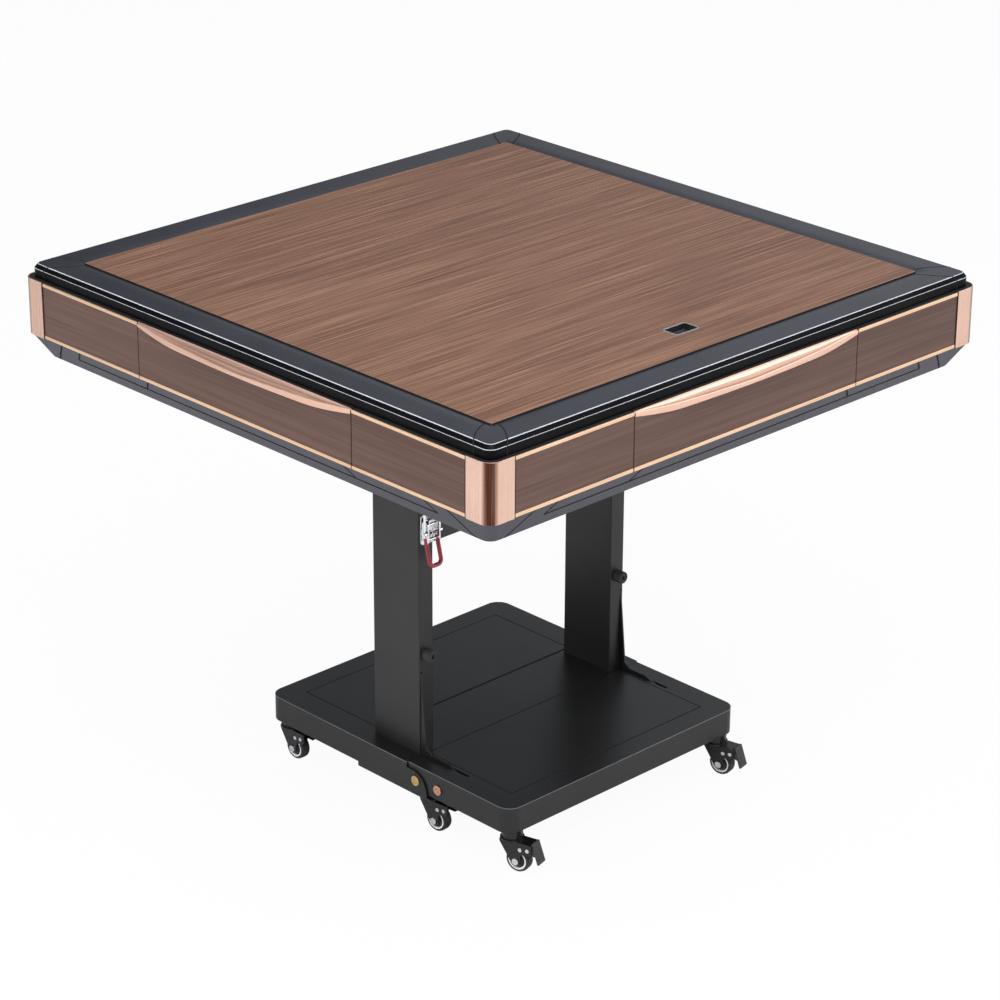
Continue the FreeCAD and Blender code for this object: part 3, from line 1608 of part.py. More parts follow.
def make_bail():
    """Wire bail of the latch, with an eye at each end."""
    top = Vec(column_centre, swing_face - bail_top_out, bail_top_height)
    foot = Vec(column_centre, swing_face - bail_pivot_out, bail_pivot_height)
    across = ALONG_X * bail_half
    points = [foot - across, top - across, top + across, foot + across]
    wire = wire_through(points, bail_bend, bail_radius)
    eye_radius = latch_pin_radius + bail_radius
    eyes = []
    for way in (-1, 1):
        middle = foot + across * way
        reach = ALONG_X * bail_eye_half
        eyes.append(rod(eye_radius, middle - reach, middle + reach))
    bore = rod(latch_pin_radius + running_gap, foot - across * 2, foot + across * 2)
    return mirrored(union([wire] + eyes).cut(bore))


def cover_ring():
    """Solid frame of the cover before it is split into rails and corner pieces."""
    shoulder = total_height - chamfer_height
    side = square_slab(cover_half, cover_radius, cover_bottom, shoulder)
    high_half = cover_half - chamfer_width
    high_radius = cover_radius - chamfer_width
    top = square_loft(cover_half, cover_radius, shoulder, high_half, high_radius, total_height)
    ledge_top = cover_bottom + cover_ledge
    inner = square_slab(rail_inner_half, rail_inner_radius, ledge_top, total_height + cut_over)
    through = square_slab(cover_ledge_half, 0, cover_bottom - cut_over, total_height)
    bevel_low = total_height - bevel_drop
    bevel = square_loft(rail_inner_half, rail_inner_radius, bevel_low, bevel_half, rail_inner_radius, total_height)
    return union([side, top]).cut(group([inner, through, bevel]))


def cover_corner_zone():
    """Space of one cover corner piece, bounded by two curved seams."""
    out = cover_half
    far = cover_half + cut_over
    z = cover_bottom - cut_over
    start = Vec(out, bulb_start_along, z)
    middle = Vec(bulb_middle_across, bulb_middle_along, z)
    end = Vec(rail_inner_half, bulb_end_along, z)
    swap = [Vec(point.y, point.x, z) for point in (start, middle, end)]
    low = cover_ledge_half - cut_over
    corners = [swap[0], Vec(bulb_start_along, far, z), Vec(far, far, z), Vec(far, bulb_start_along, z), start]
    edges = [Part.makeLine(corners[index], corners[index + 1]) for index in range(len(corners) - 1)]
    edges.append(Part.Arc(start, middle, end).toShape())
    edges.append(Part.makeLine(end, Vec(low, low, z)))
    edges.append(Part.makeLine(Vec(low, low, z), swap[2]))
    edges.append(Part.Arc(swap[2], swap[1], swap[0]).toShape())
    return Part.Face(Part.Wire(edges)).extrude(ALONG_Z * (cover_thickness + cut_over * 2))


def save_cover():
    """Cover rails, corner pieces, wooden panel and pull cup."""
    ring = cover_ring()
    zone = cover_corner_zone()
    shrunk = moved(zone, cover_seam, cover_seam, 0)
    save("cover_rails", ring.cut(group(four_sides(zone))))
    save("cover_corners", ring.common(group(four_sides(shrunk))))
    low = cover_bottom + cover_ledge
    panel = square_slab(cover_panel_half, rail_inner_radius, low, total_height)
    rebate = cup_block(-cup_rim, total_height - cup_rim_sheet, total_height + cut_over)
    save("cover_panel", panel.cut(union([cup_block(0, total_height - cup_depth, total_height + cut_over), rebate])))
    cup = cup_block(0, total_height - cup_depth, total_height)
    well = cup_block(cup_wall, total_height - cup_depth + cup_wall, total_height + cut_over)
    rim = cup_block(-cup_rim, total_height - cup_rim_sheet, total_height)
    save("pull_cup", union([cup, rim]).cut(well))


def cup_block(inset, z0, z1):
    """Rounded block at the pull cup's place, taken in by an even amount."""
    x = cup_half_length - inset
    y = cup_half_width - inset
    return plate(cup_x - x, cup_x + x, cup_y - y, cup_y + y, cup_corner - inset, z0, z1)


def save_base():
    """Both halves of the base and the columns."""
    save("rear_frame", make_rear_frame())
    save("rear_decks", make_rear_decks())
    save("cross_channel", make_cross_channel())
    save("hinge_pins", make_hinge_pins())
    save("columns", make_columns())
    save("cross_beam", make_cross_beam())
    save("gusset_plates", make_gusset_plates())
    save("bumpers", make_bumpers())
    save("caster_cups_rear", make_caster_cups_rear())
    save("front_frame", make_front_frame())
    save("front_deck", make_front_deck())
    save("hinge_arms", make_hinge_arms())
    save("bracket_pins", make_bracket_pins())
    save("caster_cups_front", make_caster_cups_front())


def save_head():
    """Fixed parts of the head and the mechanism inside."""
    save("head_frame", make_head_frame())
    save("corner_caps", make_corner_caps())
    save("table_rim", make_table_rim())
    save("play_board", make_play_board())
    save("machine_tub", make_tub())
    save("swing_frame", make_swing_frame())
    save("latch_base", make_latch_base())
    save("drawer_runners", make_runners())
    save("centre_unit", make_centre_unit())
    save("dome", make_dome())
    save("drive_motor", make_motor())
    save("mixing_bowl", make_bowl())
    save("control_board", make_control_board())
    save("turntable", make_turntable())
    save("motor_pulley", make_motor_pulley())
    save("drive_belt", make_belt())
    save("tile_lifts", make_tile_lifts())


def main():
    """Writes every sub-part."""
    os.makedirs("parts", exist_ok=True)
    save_base()
    save_casters()
    save_shell()
    save_panels()
    save_drawers()
    save_head()
    save("latch_lever", make_lever())
    save("latch_bail", make_bail())
    save_cover()


main()
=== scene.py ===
"""Looks of a folding automatic game table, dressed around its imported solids.

Metres, in the frame of the solids: X along the fold and tilt axes, -Y towards the
side whose base half folds up, Z up from the floor.
"""

from __future__ import annotations

import json
import logging
import math
from dataclasses import dataclass
from enum import Enum
from typing import Callable, ClassVar, Iterable, Sequence

import bmesh
import bpy
from mathutils import Matrix, Quaternion, Vector

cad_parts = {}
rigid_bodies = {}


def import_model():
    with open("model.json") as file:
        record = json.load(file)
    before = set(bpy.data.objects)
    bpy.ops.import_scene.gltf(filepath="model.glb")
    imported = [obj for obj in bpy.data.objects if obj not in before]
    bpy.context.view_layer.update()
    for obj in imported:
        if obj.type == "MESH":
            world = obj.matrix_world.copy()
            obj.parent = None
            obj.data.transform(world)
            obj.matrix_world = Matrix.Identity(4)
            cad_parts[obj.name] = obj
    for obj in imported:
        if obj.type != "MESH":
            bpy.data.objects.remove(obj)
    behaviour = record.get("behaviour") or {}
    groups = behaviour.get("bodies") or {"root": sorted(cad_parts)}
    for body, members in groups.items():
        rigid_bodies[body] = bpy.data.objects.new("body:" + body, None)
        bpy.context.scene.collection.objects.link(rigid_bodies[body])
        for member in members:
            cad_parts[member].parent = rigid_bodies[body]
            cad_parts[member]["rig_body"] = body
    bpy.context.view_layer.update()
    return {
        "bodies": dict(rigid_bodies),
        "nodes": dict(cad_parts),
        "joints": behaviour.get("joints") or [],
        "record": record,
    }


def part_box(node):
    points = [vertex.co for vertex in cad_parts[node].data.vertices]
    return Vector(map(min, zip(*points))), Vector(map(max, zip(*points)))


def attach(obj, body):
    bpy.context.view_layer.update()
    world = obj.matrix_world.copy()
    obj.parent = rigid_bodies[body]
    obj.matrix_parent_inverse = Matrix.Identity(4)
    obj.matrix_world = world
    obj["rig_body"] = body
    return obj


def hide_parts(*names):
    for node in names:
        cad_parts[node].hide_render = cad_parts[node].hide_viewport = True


LOG = logging.getLogger("game_table")

Colour = tuple[float, float, float]
Point = tuple[float, float, float]
Profile = Sequence[tuple[float, float]]
Socket = bpy.types.NodeSocket
Material = bpy.types.Material
Work = bmesh.types.BMesh
FaceTest = Callable[[Vector], bool]
EdgeTest = Callable[[Vector, Vector], bool]
Rules = Sequence[tuple["Look", FaceTest]]

MM = 0.001
SMOOTH_ANGLE = math.radians(32)
BEVEL_ANGLE = math.radians(24)
FLAT_ANGLE = math.radians(0.4)
WELD = 2e-6
LINE_PROUD = 0.12 * MM
LONG_RUN = 20 * MM
COLUMN_CENTRE = 189.7 * MM
UP: Point = (0.0, 0.0, 1.0)
FORWARD: Point = (0.0, -1.0, 0.0)

FRAME: dict[str, dict] = {}


class Named(Enum):
    """Members whose names are used in the names of pieces."""

    @property
    def label(self) -> str:
        """Lower-case word for names."""
        return self.name.lower()


class Side(Named):
    """The four sides of the square head, as quarter turns from the -Y side."""

    FRONT = 0
    RIGHT = 1
    BACK = 2
    LEFT = 3

    @property
    def turn(self) -> Matrix:
        """Rotation from the -Y side to this side."""
        return Matrix.Rotation(self.value * math.pi / 2, 4, "Z")


class Hand(Named):
    """The two columns, by the sign of X."""

    LEFT = -1
    RIGHT = 1


class Grain(Enum):
    """Direction that wood grain or brush marks run along."""

    ALONG_X = (0.0, 0.0, 0.0)
    ALONG_Y = (0.0, 0.0, math.pi / 2)
    ALONG_Z = (0.0, math.pi / 2, 0.0)


def grey(value: float, blue: float = 0.0) -> Colour:
    """A grey with a little more blue."""
    return (value, value, value + blue)


class Tree:
    """Shader nodes of a material or of the world."""

    def __init__(self, owner: Material | bpy.types.World) -> None:
        """Starts with no nodes."""
        owner.use_nodes = True
        self.tree = owner.node_tree
        self.tree.nodes.clear()

    def node(self, kind: str, **inputs: object) -> bpy.types.Node:
        """Adds a node and sets its inputs by name.

        Args:
            kind: Blender's name of the node, after "ShaderNode".
            **inputs: Values for sockets, with underscores for blanks.

        Returns:
            The new node.
        """
        made = self.tree.nodes.new("ShaderNode" + kind)
        for key, value in inputs.items():
            made.inputs[key.replace("_", " ")].default_value = value
        return made

    def link(self, start: Socket, end: Socket) -> None:
        """Joins two sockets."""
        self.tree.links.new(start, end)

    def spread(self, source: Socket, low: float, high: float, start: float = 0.3, end: float = 0.7) -> Socket:
        """A number moved from the range start to end to the range low to high."""
        made = self.node("MapRange", From_Min=start, From_Max=end, To_Min=low, To_Max=high)
        self.link(source, made.inputs["Value"])
        return made.outputs["Result"]

    def computed(self, operation: str, *sources: Socket | Point, kind: str = "Math") -> Socket:
        """Result of an operation on sockets or fixed vectors."""
        made = self.node(kind)
        made.operation = operation
        for source, socket in zip(sources, made.inputs):
            if isinstance(source, tuple):
                socket.default_value = source
            else:
                self.link(source, socket)
        return made.outputs["Value"]

    def blended(self, share: Socket, first: Socket, second: Socket) -> Socket:
        """Two shaders mixed by a number."""
        made = self.node("MixShader")
        for source, socket in zip((share, first, second), made.inputs):
            self.link(source, socket)
        return made.outputs[0]


class Graph(Tree):
    """Node graph of one material, ending in a Principled shader."""

    def __init__(self, name: str) -> None:
        """Starts a material with a shader and an output."""
        self.material = bpy.data.materials.new(name)
        super().__init__(self.material)
        self.shader = self.node("BsdfPrincipled")
        self.output = self.node("OutputMaterial")
        self.link(self.shader.outputs["BSDF"], self.output.inputs["Surface"])
        self.place = self.node("TexCoord").outputs["Object"]

    def mapped(self, stretch: Point, turn: Point) -> Socket:
        """Object place, turned and then stretched."""
        turned = self.node("Mapping", Rotation=turn)
        self.link(self.place, turned.inputs["Vector"])
        scaled = self.node("Mapping", Scale=stretch)
        self.link(turned.outputs["Vector"], scaled.inputs["Vector"])
        return scaled.outputs["Vector"]

    def noise(self, place: Socket, scale: float, detail: float = 4.0, distortion: float = 0.0) -> Socket:
        """Noise over a place, from 0 to 1."""
        made = self.node("TexNoise", Scale=scale, Detail=detail, Distortion=distortion)
        self.link(place, made.inputs["Vector"])
        return made.outputs["Fac"]

    def ramp(self, source: Socket, *stops: tuple[float, Colour]) -> Socket:
        """Colours laid over a number.

        Args:
            source: Socket with the number.
            *stops: Places from 0 to 1 and their colours, in order.

        Returns:
            The colour socket.
        """
        made = self.node("ValToRGB")
        self.link(source, made.inputs["Fac"])
        elements = made.color_ramp.elements
        while len(elements) < len(stops):
            elements.new(0.5)
        for element, (position, colour) in zip(elements, stops):
            element.position = position
            element.color = (*colour, 1.0)
        return made.outputs["Color"]

    def mixed(self, share: Socket, first: Socket, second: Socket) -> Socket:
        """Two colours mixed by a number."""
        made = self.node("Mix")
        made.data_type = "RGBA"
        self.link(share, made.inputs["Factor"])
        self.link(first, made.inputs[6])
        self.link(second, made.inputs[7])
        return made.outputs[2]

    def colour(self, source: Socket) -> None:
        """Takes the base colour from a socket."""
        self.link(source, self.shader.inputs["Base Color"])

    def rough(self, source: Socket, middle: float, below: float, above: float) -> None:
        """Varies the roughness around a value by a number."""
        self.link(self.spread(source, middle - below, middle + above), self.shader.inputs["Roughness"])

    def bump(self, height: Socket, strength: float, distance: float) -> None:
        """Raises the surface by a number, in metres."""
        made = self.node("Bump", Strength=strength, Distance=distance)
        self.link(height, made.inputs["Height"])
        self.link(made.outputs["Normal"], self.shader.inputs["Normal"])

    def set(self, **values: object) -> None:
        """Sets constants on the shader's own sockets."""
        for key, value in values.items():
            self.shader.inputs[key.replace("_", " ")].default_value = value


@dataclass(frozen=True)
class WoodVeneer:
    """Satin wood veneer with long fine streaks."""

    name: str
    grain: Grain
    dark: Colour
    middle: Colour
    light: Colour
    streak: float = 120.0
    roughness: float = 0.42
    relief: float = 0.00012
    streaky: float = 0.7

    def build(self) -> Material:
        """Makes the material."""
        graph = Graph(self.name)

        def streaks(run: float, fineness: float, *detail: float) -> Socket:
            """Noise drawn out along the grain."""
            across = self.streak * fineness
            return graph.noise(graph.mapped((run, across, across), self.grain.value), 1.0, *detail)

        broad = streaks(1.6, 0.2, 4.0, 0.3)
        fine = streaks(4.5, 4.6, 3.0, 0.2)
        pores = streaks(7.0, 3.2, 2.0)
        base = graph.ramp(broad, (0.1, self.dark), (0.5, self.middle), (0.9, self.light))
        lines = graph.ramp(fine, (0.39, self.dark), (0.5, self.middle), (0.62, self.light))
        veneer = graph.mixed(graph.spread(fine, self.streaky - 0.15, self.streaky + 0.15), base, lines)
        deep = tuple(0.45 * value for value in self.dark)
        share = graph.spread(pores, self.streaky * 0.62, 0.0, 0.3, 0.46)
        graph.colour(graph.mixed(share, veneer, graph.ramp(fine, (0.0, deep), (1.0, self.dark))))
        graph.rough(fine, self.roughness, 0.06, 0.1)
        graph.bump(fine, 0.35, self.relief)
        graph.set(Specular_IOR_Level=0.22)
        return graph.material


@dataclass(frozen=True)
class PowderCoat:
    """Painted or powder-coated metal with a fine orange-peel skin."""

    name: str
    dark: Colour
    light: Colour
    roughness: float
    texture: float = 900.0
    relief: float = 0.00006
    coat: float = 0.0
    shine: float = 0.5
    clear: float = 0.0

    cloud: ClassVar[tuple[float, float]] = (9.0, 3.0)
    detail: ClassVar[float] = 2.0
    span: ClassVar[tuple[float, float]] = (0.05, 0.07)
    strength: ClassVar[float] = 0.25
    coat_roughness: ClassVar[float] = 0.12

    def build(self) -> Material:
        """Makes the material."""
        graph = Graph(self.name)
        cloud = graph.noise(graph.place, *self.cloud)
        skin = graph.noise(graph.place, self.texture, self.detail)
        graph.colour(graph.ramp(cloud, (0.3, self.dark), (0.7, self.light)))
        graph.rough(skin, self.roughness, *self.span)
        graph.bump(skin, self.strength, self.relief)
        graph.set(Coat_Weight=self.coat, Coat_Roughness=self.coat_roughness)
        graph.set(Specular_IOR_Level=self.shine, Transmission_Weight=self.clear)
        return graph.material


@dataclass(frozen=True)
class Moulded(PowderCoat):
    """Plain moulded plastic, vinyl or rubber with slight mottling."""

    texture: float = 500.0
    relief: float = 0.00005

    cloud = (22.0, 2.0)
    detail = 3.0
    span = (0.04, 0.08)
    strength = 0.3
    coat_roughness = 0.1


@dataclass(frozen=True)
class BrushedMetal:
    """Anodised or brushed metal with fine marks along one direction, and an optional painted dark band on
    rounded corners.
    """

    name: str
    grain: Grain
    dark: Colour
    light: Colour
    roughness: float
    marks: float = 700.0
    # Colour of a painted dark band on rounded upright corners, standing in for the dark reflection there;
    # None leaves it out.
    corner: Colour | None = None

    def build(self) -> Material:
        """Makes the material."""
        graph = Graph(self.name)
        marks = graph.noise(graph.mapped((4.0, self.marks, self.marks), self.grain.value), 1.0, 3.0)
        cloud = graph.noise(graph.place, 14.0, 2.0)
        brushed = graph.mixed(graph.spread(marks, 0.25, 0.75), cloud, marks)
        colour = graph.ramp(brushed, (0.3, self.dark), (0.7, self.light))
        # Painted shade: the corner colour darkens the rounded corners in place of a real reflection.
        if self.corner:
            painted_corner_band = graph.ramp(marks, (0.5, self.corner), (1.0, self.dark))
            colour = graph.mixed(self.corner_band_share(graph), colour, painted_corner_band)
        graph.colour(colour)
        graph.rough(marks, self.roughness, 0.06, 0.08)
        graph.bump(marks, 0.12, 0.00003)
        graph.set(Metallic=1.0)
        return graph.material

    def corner_band_share(self, graph: Graph) -> Socket:
        """Share that is 1 where the surface points between X and Y, and 0 where it faces one of them; it
        places the painted dark band.
        """
        parts = graph.node("SeparateXYZ")
        graph.link(graph.node("TexCoord").outputs["Normal"], parts.inputs["Vector"])
        product = graph.computed("MULTIPLY", parts.outputs["X"], parts.outputs["Y"])
        return graph.spread(graph.computed("ABSOLUTE", product), 0.0, 1.0, 0.14, 0.42)


@dataclass(frozen=True)
class SpeckledPlastic:
    """Moulded plastic with light specks over a darker ground."""

    name: str
    ground: Colour
    shade: Colour
    speck: Colour
    roughness: float
    size: float

    def build(self) -> Material:
        """Makes the material."""
        graph = Graph(self.name)
        cells = graph.node("TexVoronoi", Scale=self.size)
        graph.link(graph.place, cells.inputs["Vector"])
        grain = graph.noise(graph.place, self.size * 0.55, 3.0)
        ground = graph.ramp(grain, (0.35, self.ground), (0.62, self.shade))
        flecks = graph.ramp(cells.outputs["Distance"], (0.12, self.speck), (0.42, self.ground))
        share = graph.spread(graph.noise(graph.place, self.size * 0.8, 1.0), 0.0, 0.7, 0.45, 0.7)
        graph.colour(graph.mixed(share, ground, flecks))
        graph.rough(grain, self.roughness, 0.06, 0.1)
        graph.bump(grain, 0.3, 0.0001)
        return graph.material


@dataclass(frozen=True)
class BrushedCloth:
    """Short woven play cloth with crossing threads."""

    name: str
    dark: Colour
    light: Colour
    threads: float = 620.0

    def build(self) -> Material:
        """Makes the material."""
        graph = Graph(self.name)
        threads = []
        for direction in ("X", "Y"):
            wave = graph.node("TexWave", Scale=self.threads, Distortion=1.2, Detail=1.0)
            wave.bands_direction = direction
            graph.link(graph.place, wave.inputs["Vector"])
            threads.append(wave.outputs["Fac"])
        weave = graph.computed("MULTIPLY", *threads)
        cloud = graph.noise(graph.place, 30.0)
        shade = graph.ramp(weave, (0.0, self.dark), (1.0, self.light))
        patch = graph.ramp(cloud, (0.3, self.dark), (0.7, self.light))
        graph.colour(graph.mixed(graph.spread(cloud, 0.3, 0.6), shade, patch))
        graph.bump(weave, 0.4, 0.0002)
        graph.set(Roughness=0.9, Sheen_Weight=0.3)
        return graph.material


SIDE_WOOD = ((0.078, 0.04, 0.03), (0.114, 0.063, 0.048), (0.152, 0.09, 0.07), 40.0, 0.34, 0.0001, 0.35)
ROSE_PULL = ((0.8, 0.5, 0.38), (0.86, 0.57, 0.44), 0.34, 500.0)
GOLD_TRIM = ((0.82, 0.53, 0.33), (0.93, 0.66, 0.45), 0.3)


class Look(Enum):
    """Every finish on the table."""

    TOP_WOOD = WoodVeneer(
        "walnut_top", Grain.ALONG_X, (0.1, 0.046, 0.027), (0.2, 0.1, 0.063), (0.33, 0.183, 0.118), 120.0, 0.46
    )
    # Lighter walnut laid on the panel's back edges as a painted highlight.
    PANEL_EDGE = WoodVeneer(
        "walnut_edge_band", Grain.ALONG_X, (0.36, 0.22, 0.16), (0.44, 0.29, 0.22), (0.52, 0.36, 0.28)
    )
    SIDE_WOOD_X = WoodVeneer("walnut_side_x", Grain.ALONG_X, *SIDE_WOOD)
    SIDE_WOOD_Y = WoodVeneer("walnut_side_y", Grain.ALONG_Y, *SIDE_WOOD)
    COVER_EDGE = PowderCoat(
        "charcoal_cover", (0.021, 0.022, 0.03), (0.029, 0.03, 0.04), 0.27, 1400.0, 0.00002, 0.0, 0.34
    )
    COVER_BLACK = PowderCoat(
        "black_cover_side", grey(0.003, 0.001), grey(0.006, 0.001), 0.3, 1400.0, 0.00002, 0.0, 0.06
    )
    # Grey painted highlight for light lines along the base frames' upper edges.
    EDGE_SHEEN = PowderCoat("worn_black_edge", grey(0.1, 0.005), grey(0.17, 0.005), 0.35)
    BASE_BLACK = PowderCoat("black_base_coat", grey(0.009), grey(0.014), 0.36, 1100.0, 0.00005, 0.0, 0.42)
    COLUMN_BLACK = PowderCoat("black_column_coat", grey(0.012), grey(0.018), 0.42, 1000.0, 0.00005, 0.0, 0.45)
    CASTER_BLACK = PowderCoat("black_caster_enamel", grey(0.006), grey(0.01), 0.25, 700.0, 0.00006, 0.1, 0.4)
    FRAME_GREY = PowderCoat("grey_frame_paint", grey(0.06, 0.005), grey(0.09, 0.005), 0.5)
    TUB_GREY = PowderCoat("dark_tub_paint", grey(0.03, 0.003), grey(0.045, 0.005), 0.55)
    # The last colour is a painted dark band down each rounded cap corner, in place of its reflection.
    ROSE_METAL_Z = BrushedMetal(
        "rose_cap_metal", Grain.ALONG_Z, (0.73, 0.46, 0.35), (0.86, 0.6, 0.48),
        0.27, 900.0, (0.085, 0.03, 0.016)
    )
    ROSE_METAL_X = BrushedMetal("rose_pull_metal_x", Grain.ALONG_X, *ROSE_PULL)
    ROSE_METAL_Y = BrushedMetal("rose_pull_metal_y", Grain.ALONG_Y, *ROSE_PULL)
    GOLD_X = BrushedMetal("gold_trim_metal_x", Grain.ALONG_X, *GOLD_TRIM)
    GOLD_Y = BrushedMetal("gold_trim_metal_y", Grain.ALONG_Y, *GOLD_TRIM)
    BRASS = BrushedMetal("brass_bolt_metal", Grain.ALONG_X, (0.66, 0.42, 0.17), (0.78, 0.53, 0.25), 0.25)
    COPPER = BrushedMetal("copper_bolt_metal", Grain.ALONG_X, (0.62, 0.34, 0.2), (0.74, 0.44, 0.28), 0.28)
    CHROME = BrushedMetal("latch_chrome", Grain.ALONG_Z, grey(0.72, 0.02), grey(0.84, 0.02), 0.14, 300.0)
    STEEL = BrushedMetal("bare_steel", Grain.ALONG_X, grey(0.45, 0.02), grey(0.62, 0.02), 0.3)
    MOTOR_METAL = BrushedMetal(
        "cast_motor_metal", Grain.ALONG_Z, grey(0.3, 0.02), grey(0.46, 0.02), 0.45, 200.0
    )
    SHELL = SpeckledPlastic(
        "speckled_shell", (0.02, 0.019, 0.027), (0.062, 0.058, 0.078), (0.21, 0.205, 0.24), 0.5, 620.0
    )
    # Light grey painted highlight for the narrow lines along the cover's chamfer edges.
    BRIGHT_EDGE = Moulded("bright_edge_line", (0.5, 0.51, 0.55), (0.62, 0.63, 0.67), 0.35, 300.0)
    # Near-black painted shade, laid in seams, gaps and grooves and under the cover's edge.
    SEAM_BLACK = Moulded("black_seam_shade", grey(0.002), grey(0.004), 0.8)
    RED_VINYL = Moulded("red_vinyl", (0.3, 0.005, 0.02), (0.4, 0.012, 0.034), 0.28, 300.0, 0.00004, 0.3)
    BUMPER_RUBBER = Moulded("bumper_rubber", grey(0.012), grey(0.022), 0.55, 800.0)
    TYRE_RUBBER = Moulded("tyre_rubber", grey(0.016, 0.001), grey(0.03, 0.001), 0.5, 900.0)
    PEDAL_PLASTIC = Moulded("pedal_plastic", grey(0.014, 0.001), grey(0.024, 0.001), 0.4, 600.0)
    RIM_BLACK = Moulded("black_rim_plastic", grey(0.008, 0.001), grey(0.014, 0.001), 0.4)
    PALE_RING = Moulded("pale_wheel_ring", grey(0.84), grey(0.95), 0.3, 400.0, 0.00003, 0.3)
    GREY_PLASTIC = Moulded("grey_bowl_plastic", grey(0.12, 0.01), grey(0.18, 0.01), 0.5, 400.0)
    PALE_PLASTIC = Moulded("pale_runner_plastic", grey(0.5, -0.02), grey(0.6, -0.02), 0.45, 300.0)
    TRAY_PLASTIC = Moulded("dark_tray_plastic", grey(0.02, 0.002), grey(0.032, 0.002), 0.5, 600.0)
    GLOSS_BLACK = Moulded(
        "gloss_centre_plastic", grey(0.01, 0.001), grey(0.018, 0.001), 0.14, 200.0, 0.00001, 0.6
    )
    CLEAR = Moulded(
        "clear_dome_plastic", (0.85, 0.9, 0.93), (0.92, 0.95, 0.97), 0.06, 60.0, 0.00001, 0.3, clear=0.9
    )
    BOARD_GREEN = Moulded(
        "circuit_board_lacquer", (0.015, 0.1, 0.045), (0.03, 0.16, 0.07), 0.3, 300.0, 0.00005, 0.4
    )
    BUTTON_RED = Moulded(
        "red_button_plastic", (0.4, 0.03, 0.02), (0.5, 0.05, 0.03), 0.25, 200.0, 0.00002, 0.4
    )
    BELT = Moulded("belt_rubber", grey(0.012), grey(0.02), 0.6, 1200.0)
    WELL_DARK = Moulded("dark_well_plastic", grey(0.01, 0.001), grey(0.02, 0.001), 0.35)
    CLOTH = BrushedCloth("green_play_cloth", (0.012, 0.075, 0.055), (0.03, 0.13, 0.095))

    @property
    def material(self) -> Material:
        """The finish's material, made once."""
        return bpy.data.materials.get(self.value.name) or self.value.build()


def finished(
    name: str, work: Work, look: Look, body: str, slot: str, others: Sequence[Look] = ()
) -> bpy.types.Object:
    """Turns a finished bmesh into a piece that rides on a body.

    Args:
        name: Name of the piece.
        work: The mesh; it is freed.
        look: Finish of faces with material number 0.
        body: Body that the piece rides on.
        slot: Slot of the record that the finish belongs to; not used.
        others: Finishes of faces with material numbers from 1.

    Returns:
        The piece.
    """
    bmesh.ops.recalc_face_normals(work, faces=work.faces)
    mesh = bpy.data.meshes.new(name)
    work.to_mesh(mesh)
    work.free()
    for choice in (look, *others):
        mesh.materials.append(choice.material)
    mesh.polygons.foreach_set("use_smooth", [True] * len(mesh.polygons))
    mesh.set_sharp_from_angle(angle=SMOOTH_ANGLE)
    piece = bpy.data.objects.new(name, mesh)
    bpy.context.scene.collection.objects.link(piece)
    piece.modifiers.new("even_shading", "WEIGHTED_NORMAL").keep_sharp = True
    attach(piece, body)
    LOG.info("%s rides on %s", name, body)
    return piece


def round_edges(work: Work, width: float, segments: int = 2) -> None:
    """Rounds every sharp edge of a mesh."""
    work.normal_update()
    sharp = [edge for edge in work.edges if edge.is_manifold and edge.calc_face_angle(0.0) > BEVEL_ANGLE]
    bmesh.ops.bevel(
        work,
        geom=sharp,
        offset=width,
        offset_type="OFFSET",
        segments=segments,
        profile=0.5,
        affect="EDGES",
        clamp_overlap=True,
    )


def block(low: Point, high: Point, width: float, turn: Matrix | None = None, segments: int = 2) -> Work:
    """Block between two corners, with rounded edges.

    Args:
        low: Lowest corner.
        high: Highest corner.
        width: Width of the edge rounding.
        turn: Matrix applied to the finished block.
        segments: Steps across each rounded edge.

    Returns:
        The block's mesh.
    """
    work = bmesh.new()
    size = Vector(high) - Vector(low)
    middle = (Vector(high) + Vector(low)) / 2
    bmesh.ops.create_cube(work, size=1.0, matrix=Matrix.Translation(middle) @ Matrix.Diagonal((*size, 1.0)))
    round_edges(work, width, segments)
    if turn is not None:
        work.transform(turn)
    return work


def joined(parts: Iterable[Work]) -> Work:
    """One mesh from several, freeing the rest."""
    work = bmesh.new()
    for part in parts:
        scratch = bpy.data.meshes.new("join")
        part.to_mesh(scratch)
        part.free()
        work.from_mesh(scratch)
        bpy.data.meshes.remove(scratch)
    return work


def marked(work: Work, number: int) -> Work:
    """Gives every face of a mesh one material number."""
    for face in work.faces:
        face.material_index = number
    return work


def skinned(rings: Sequence[Sequence[bmesh.types.BMVert]], work: Work, closed: bool) -> None:
    """Faces between rows of vertices; a row of one vertex closes to a point.

    Args:
        rings: Rows of vertices, each closed on itself.
        work: Mesh that takes the faces.
        closed: Whether the last row is joined to the first.
    """
    steps = max(len(ring) for ring in rings)
    for first, second in [*zip(rings, rings[1:]), *([(rings[-1], rings[0])] if closed else [])]:
        for step in range(steps):
            after = (step + 1) % steps
            corners = [first[step % len(first)], first[after % len(first)]]
            corners += [second[after % len(second)], second[step % len(second)]]
            unique = list(dict.fromkeys(corners))
            if len(unique) > 2:
                work.faces.new(unique)


def lathe(profile: Profile, place: Matrix, steps: int = 48) -> Work:
    """Closed turned shape about the local Z axis.

    Args:
        profile: Radius and height of each point, in order. A radius of 0 closes the end.
        place: Matrix from the lathe's frame to the table's.
        steps: Steps around the axis.

    Returns:
        The turned mesh.
    """
    work = bmesh.new()
    rings = []
    for radius, height in profile:
        angles = [2 * math.pi * step / steps for step in range(steps)] if radius > 0 else [0.0]
        rings.append([work.verts.new((radius * math.cos(a), radius * math.sin(a), height)) for a in angles])
    skinned(rings, work, profile[0][0] > 0 and profile[-1][0] > 0)
    work.transform(place)
    return work


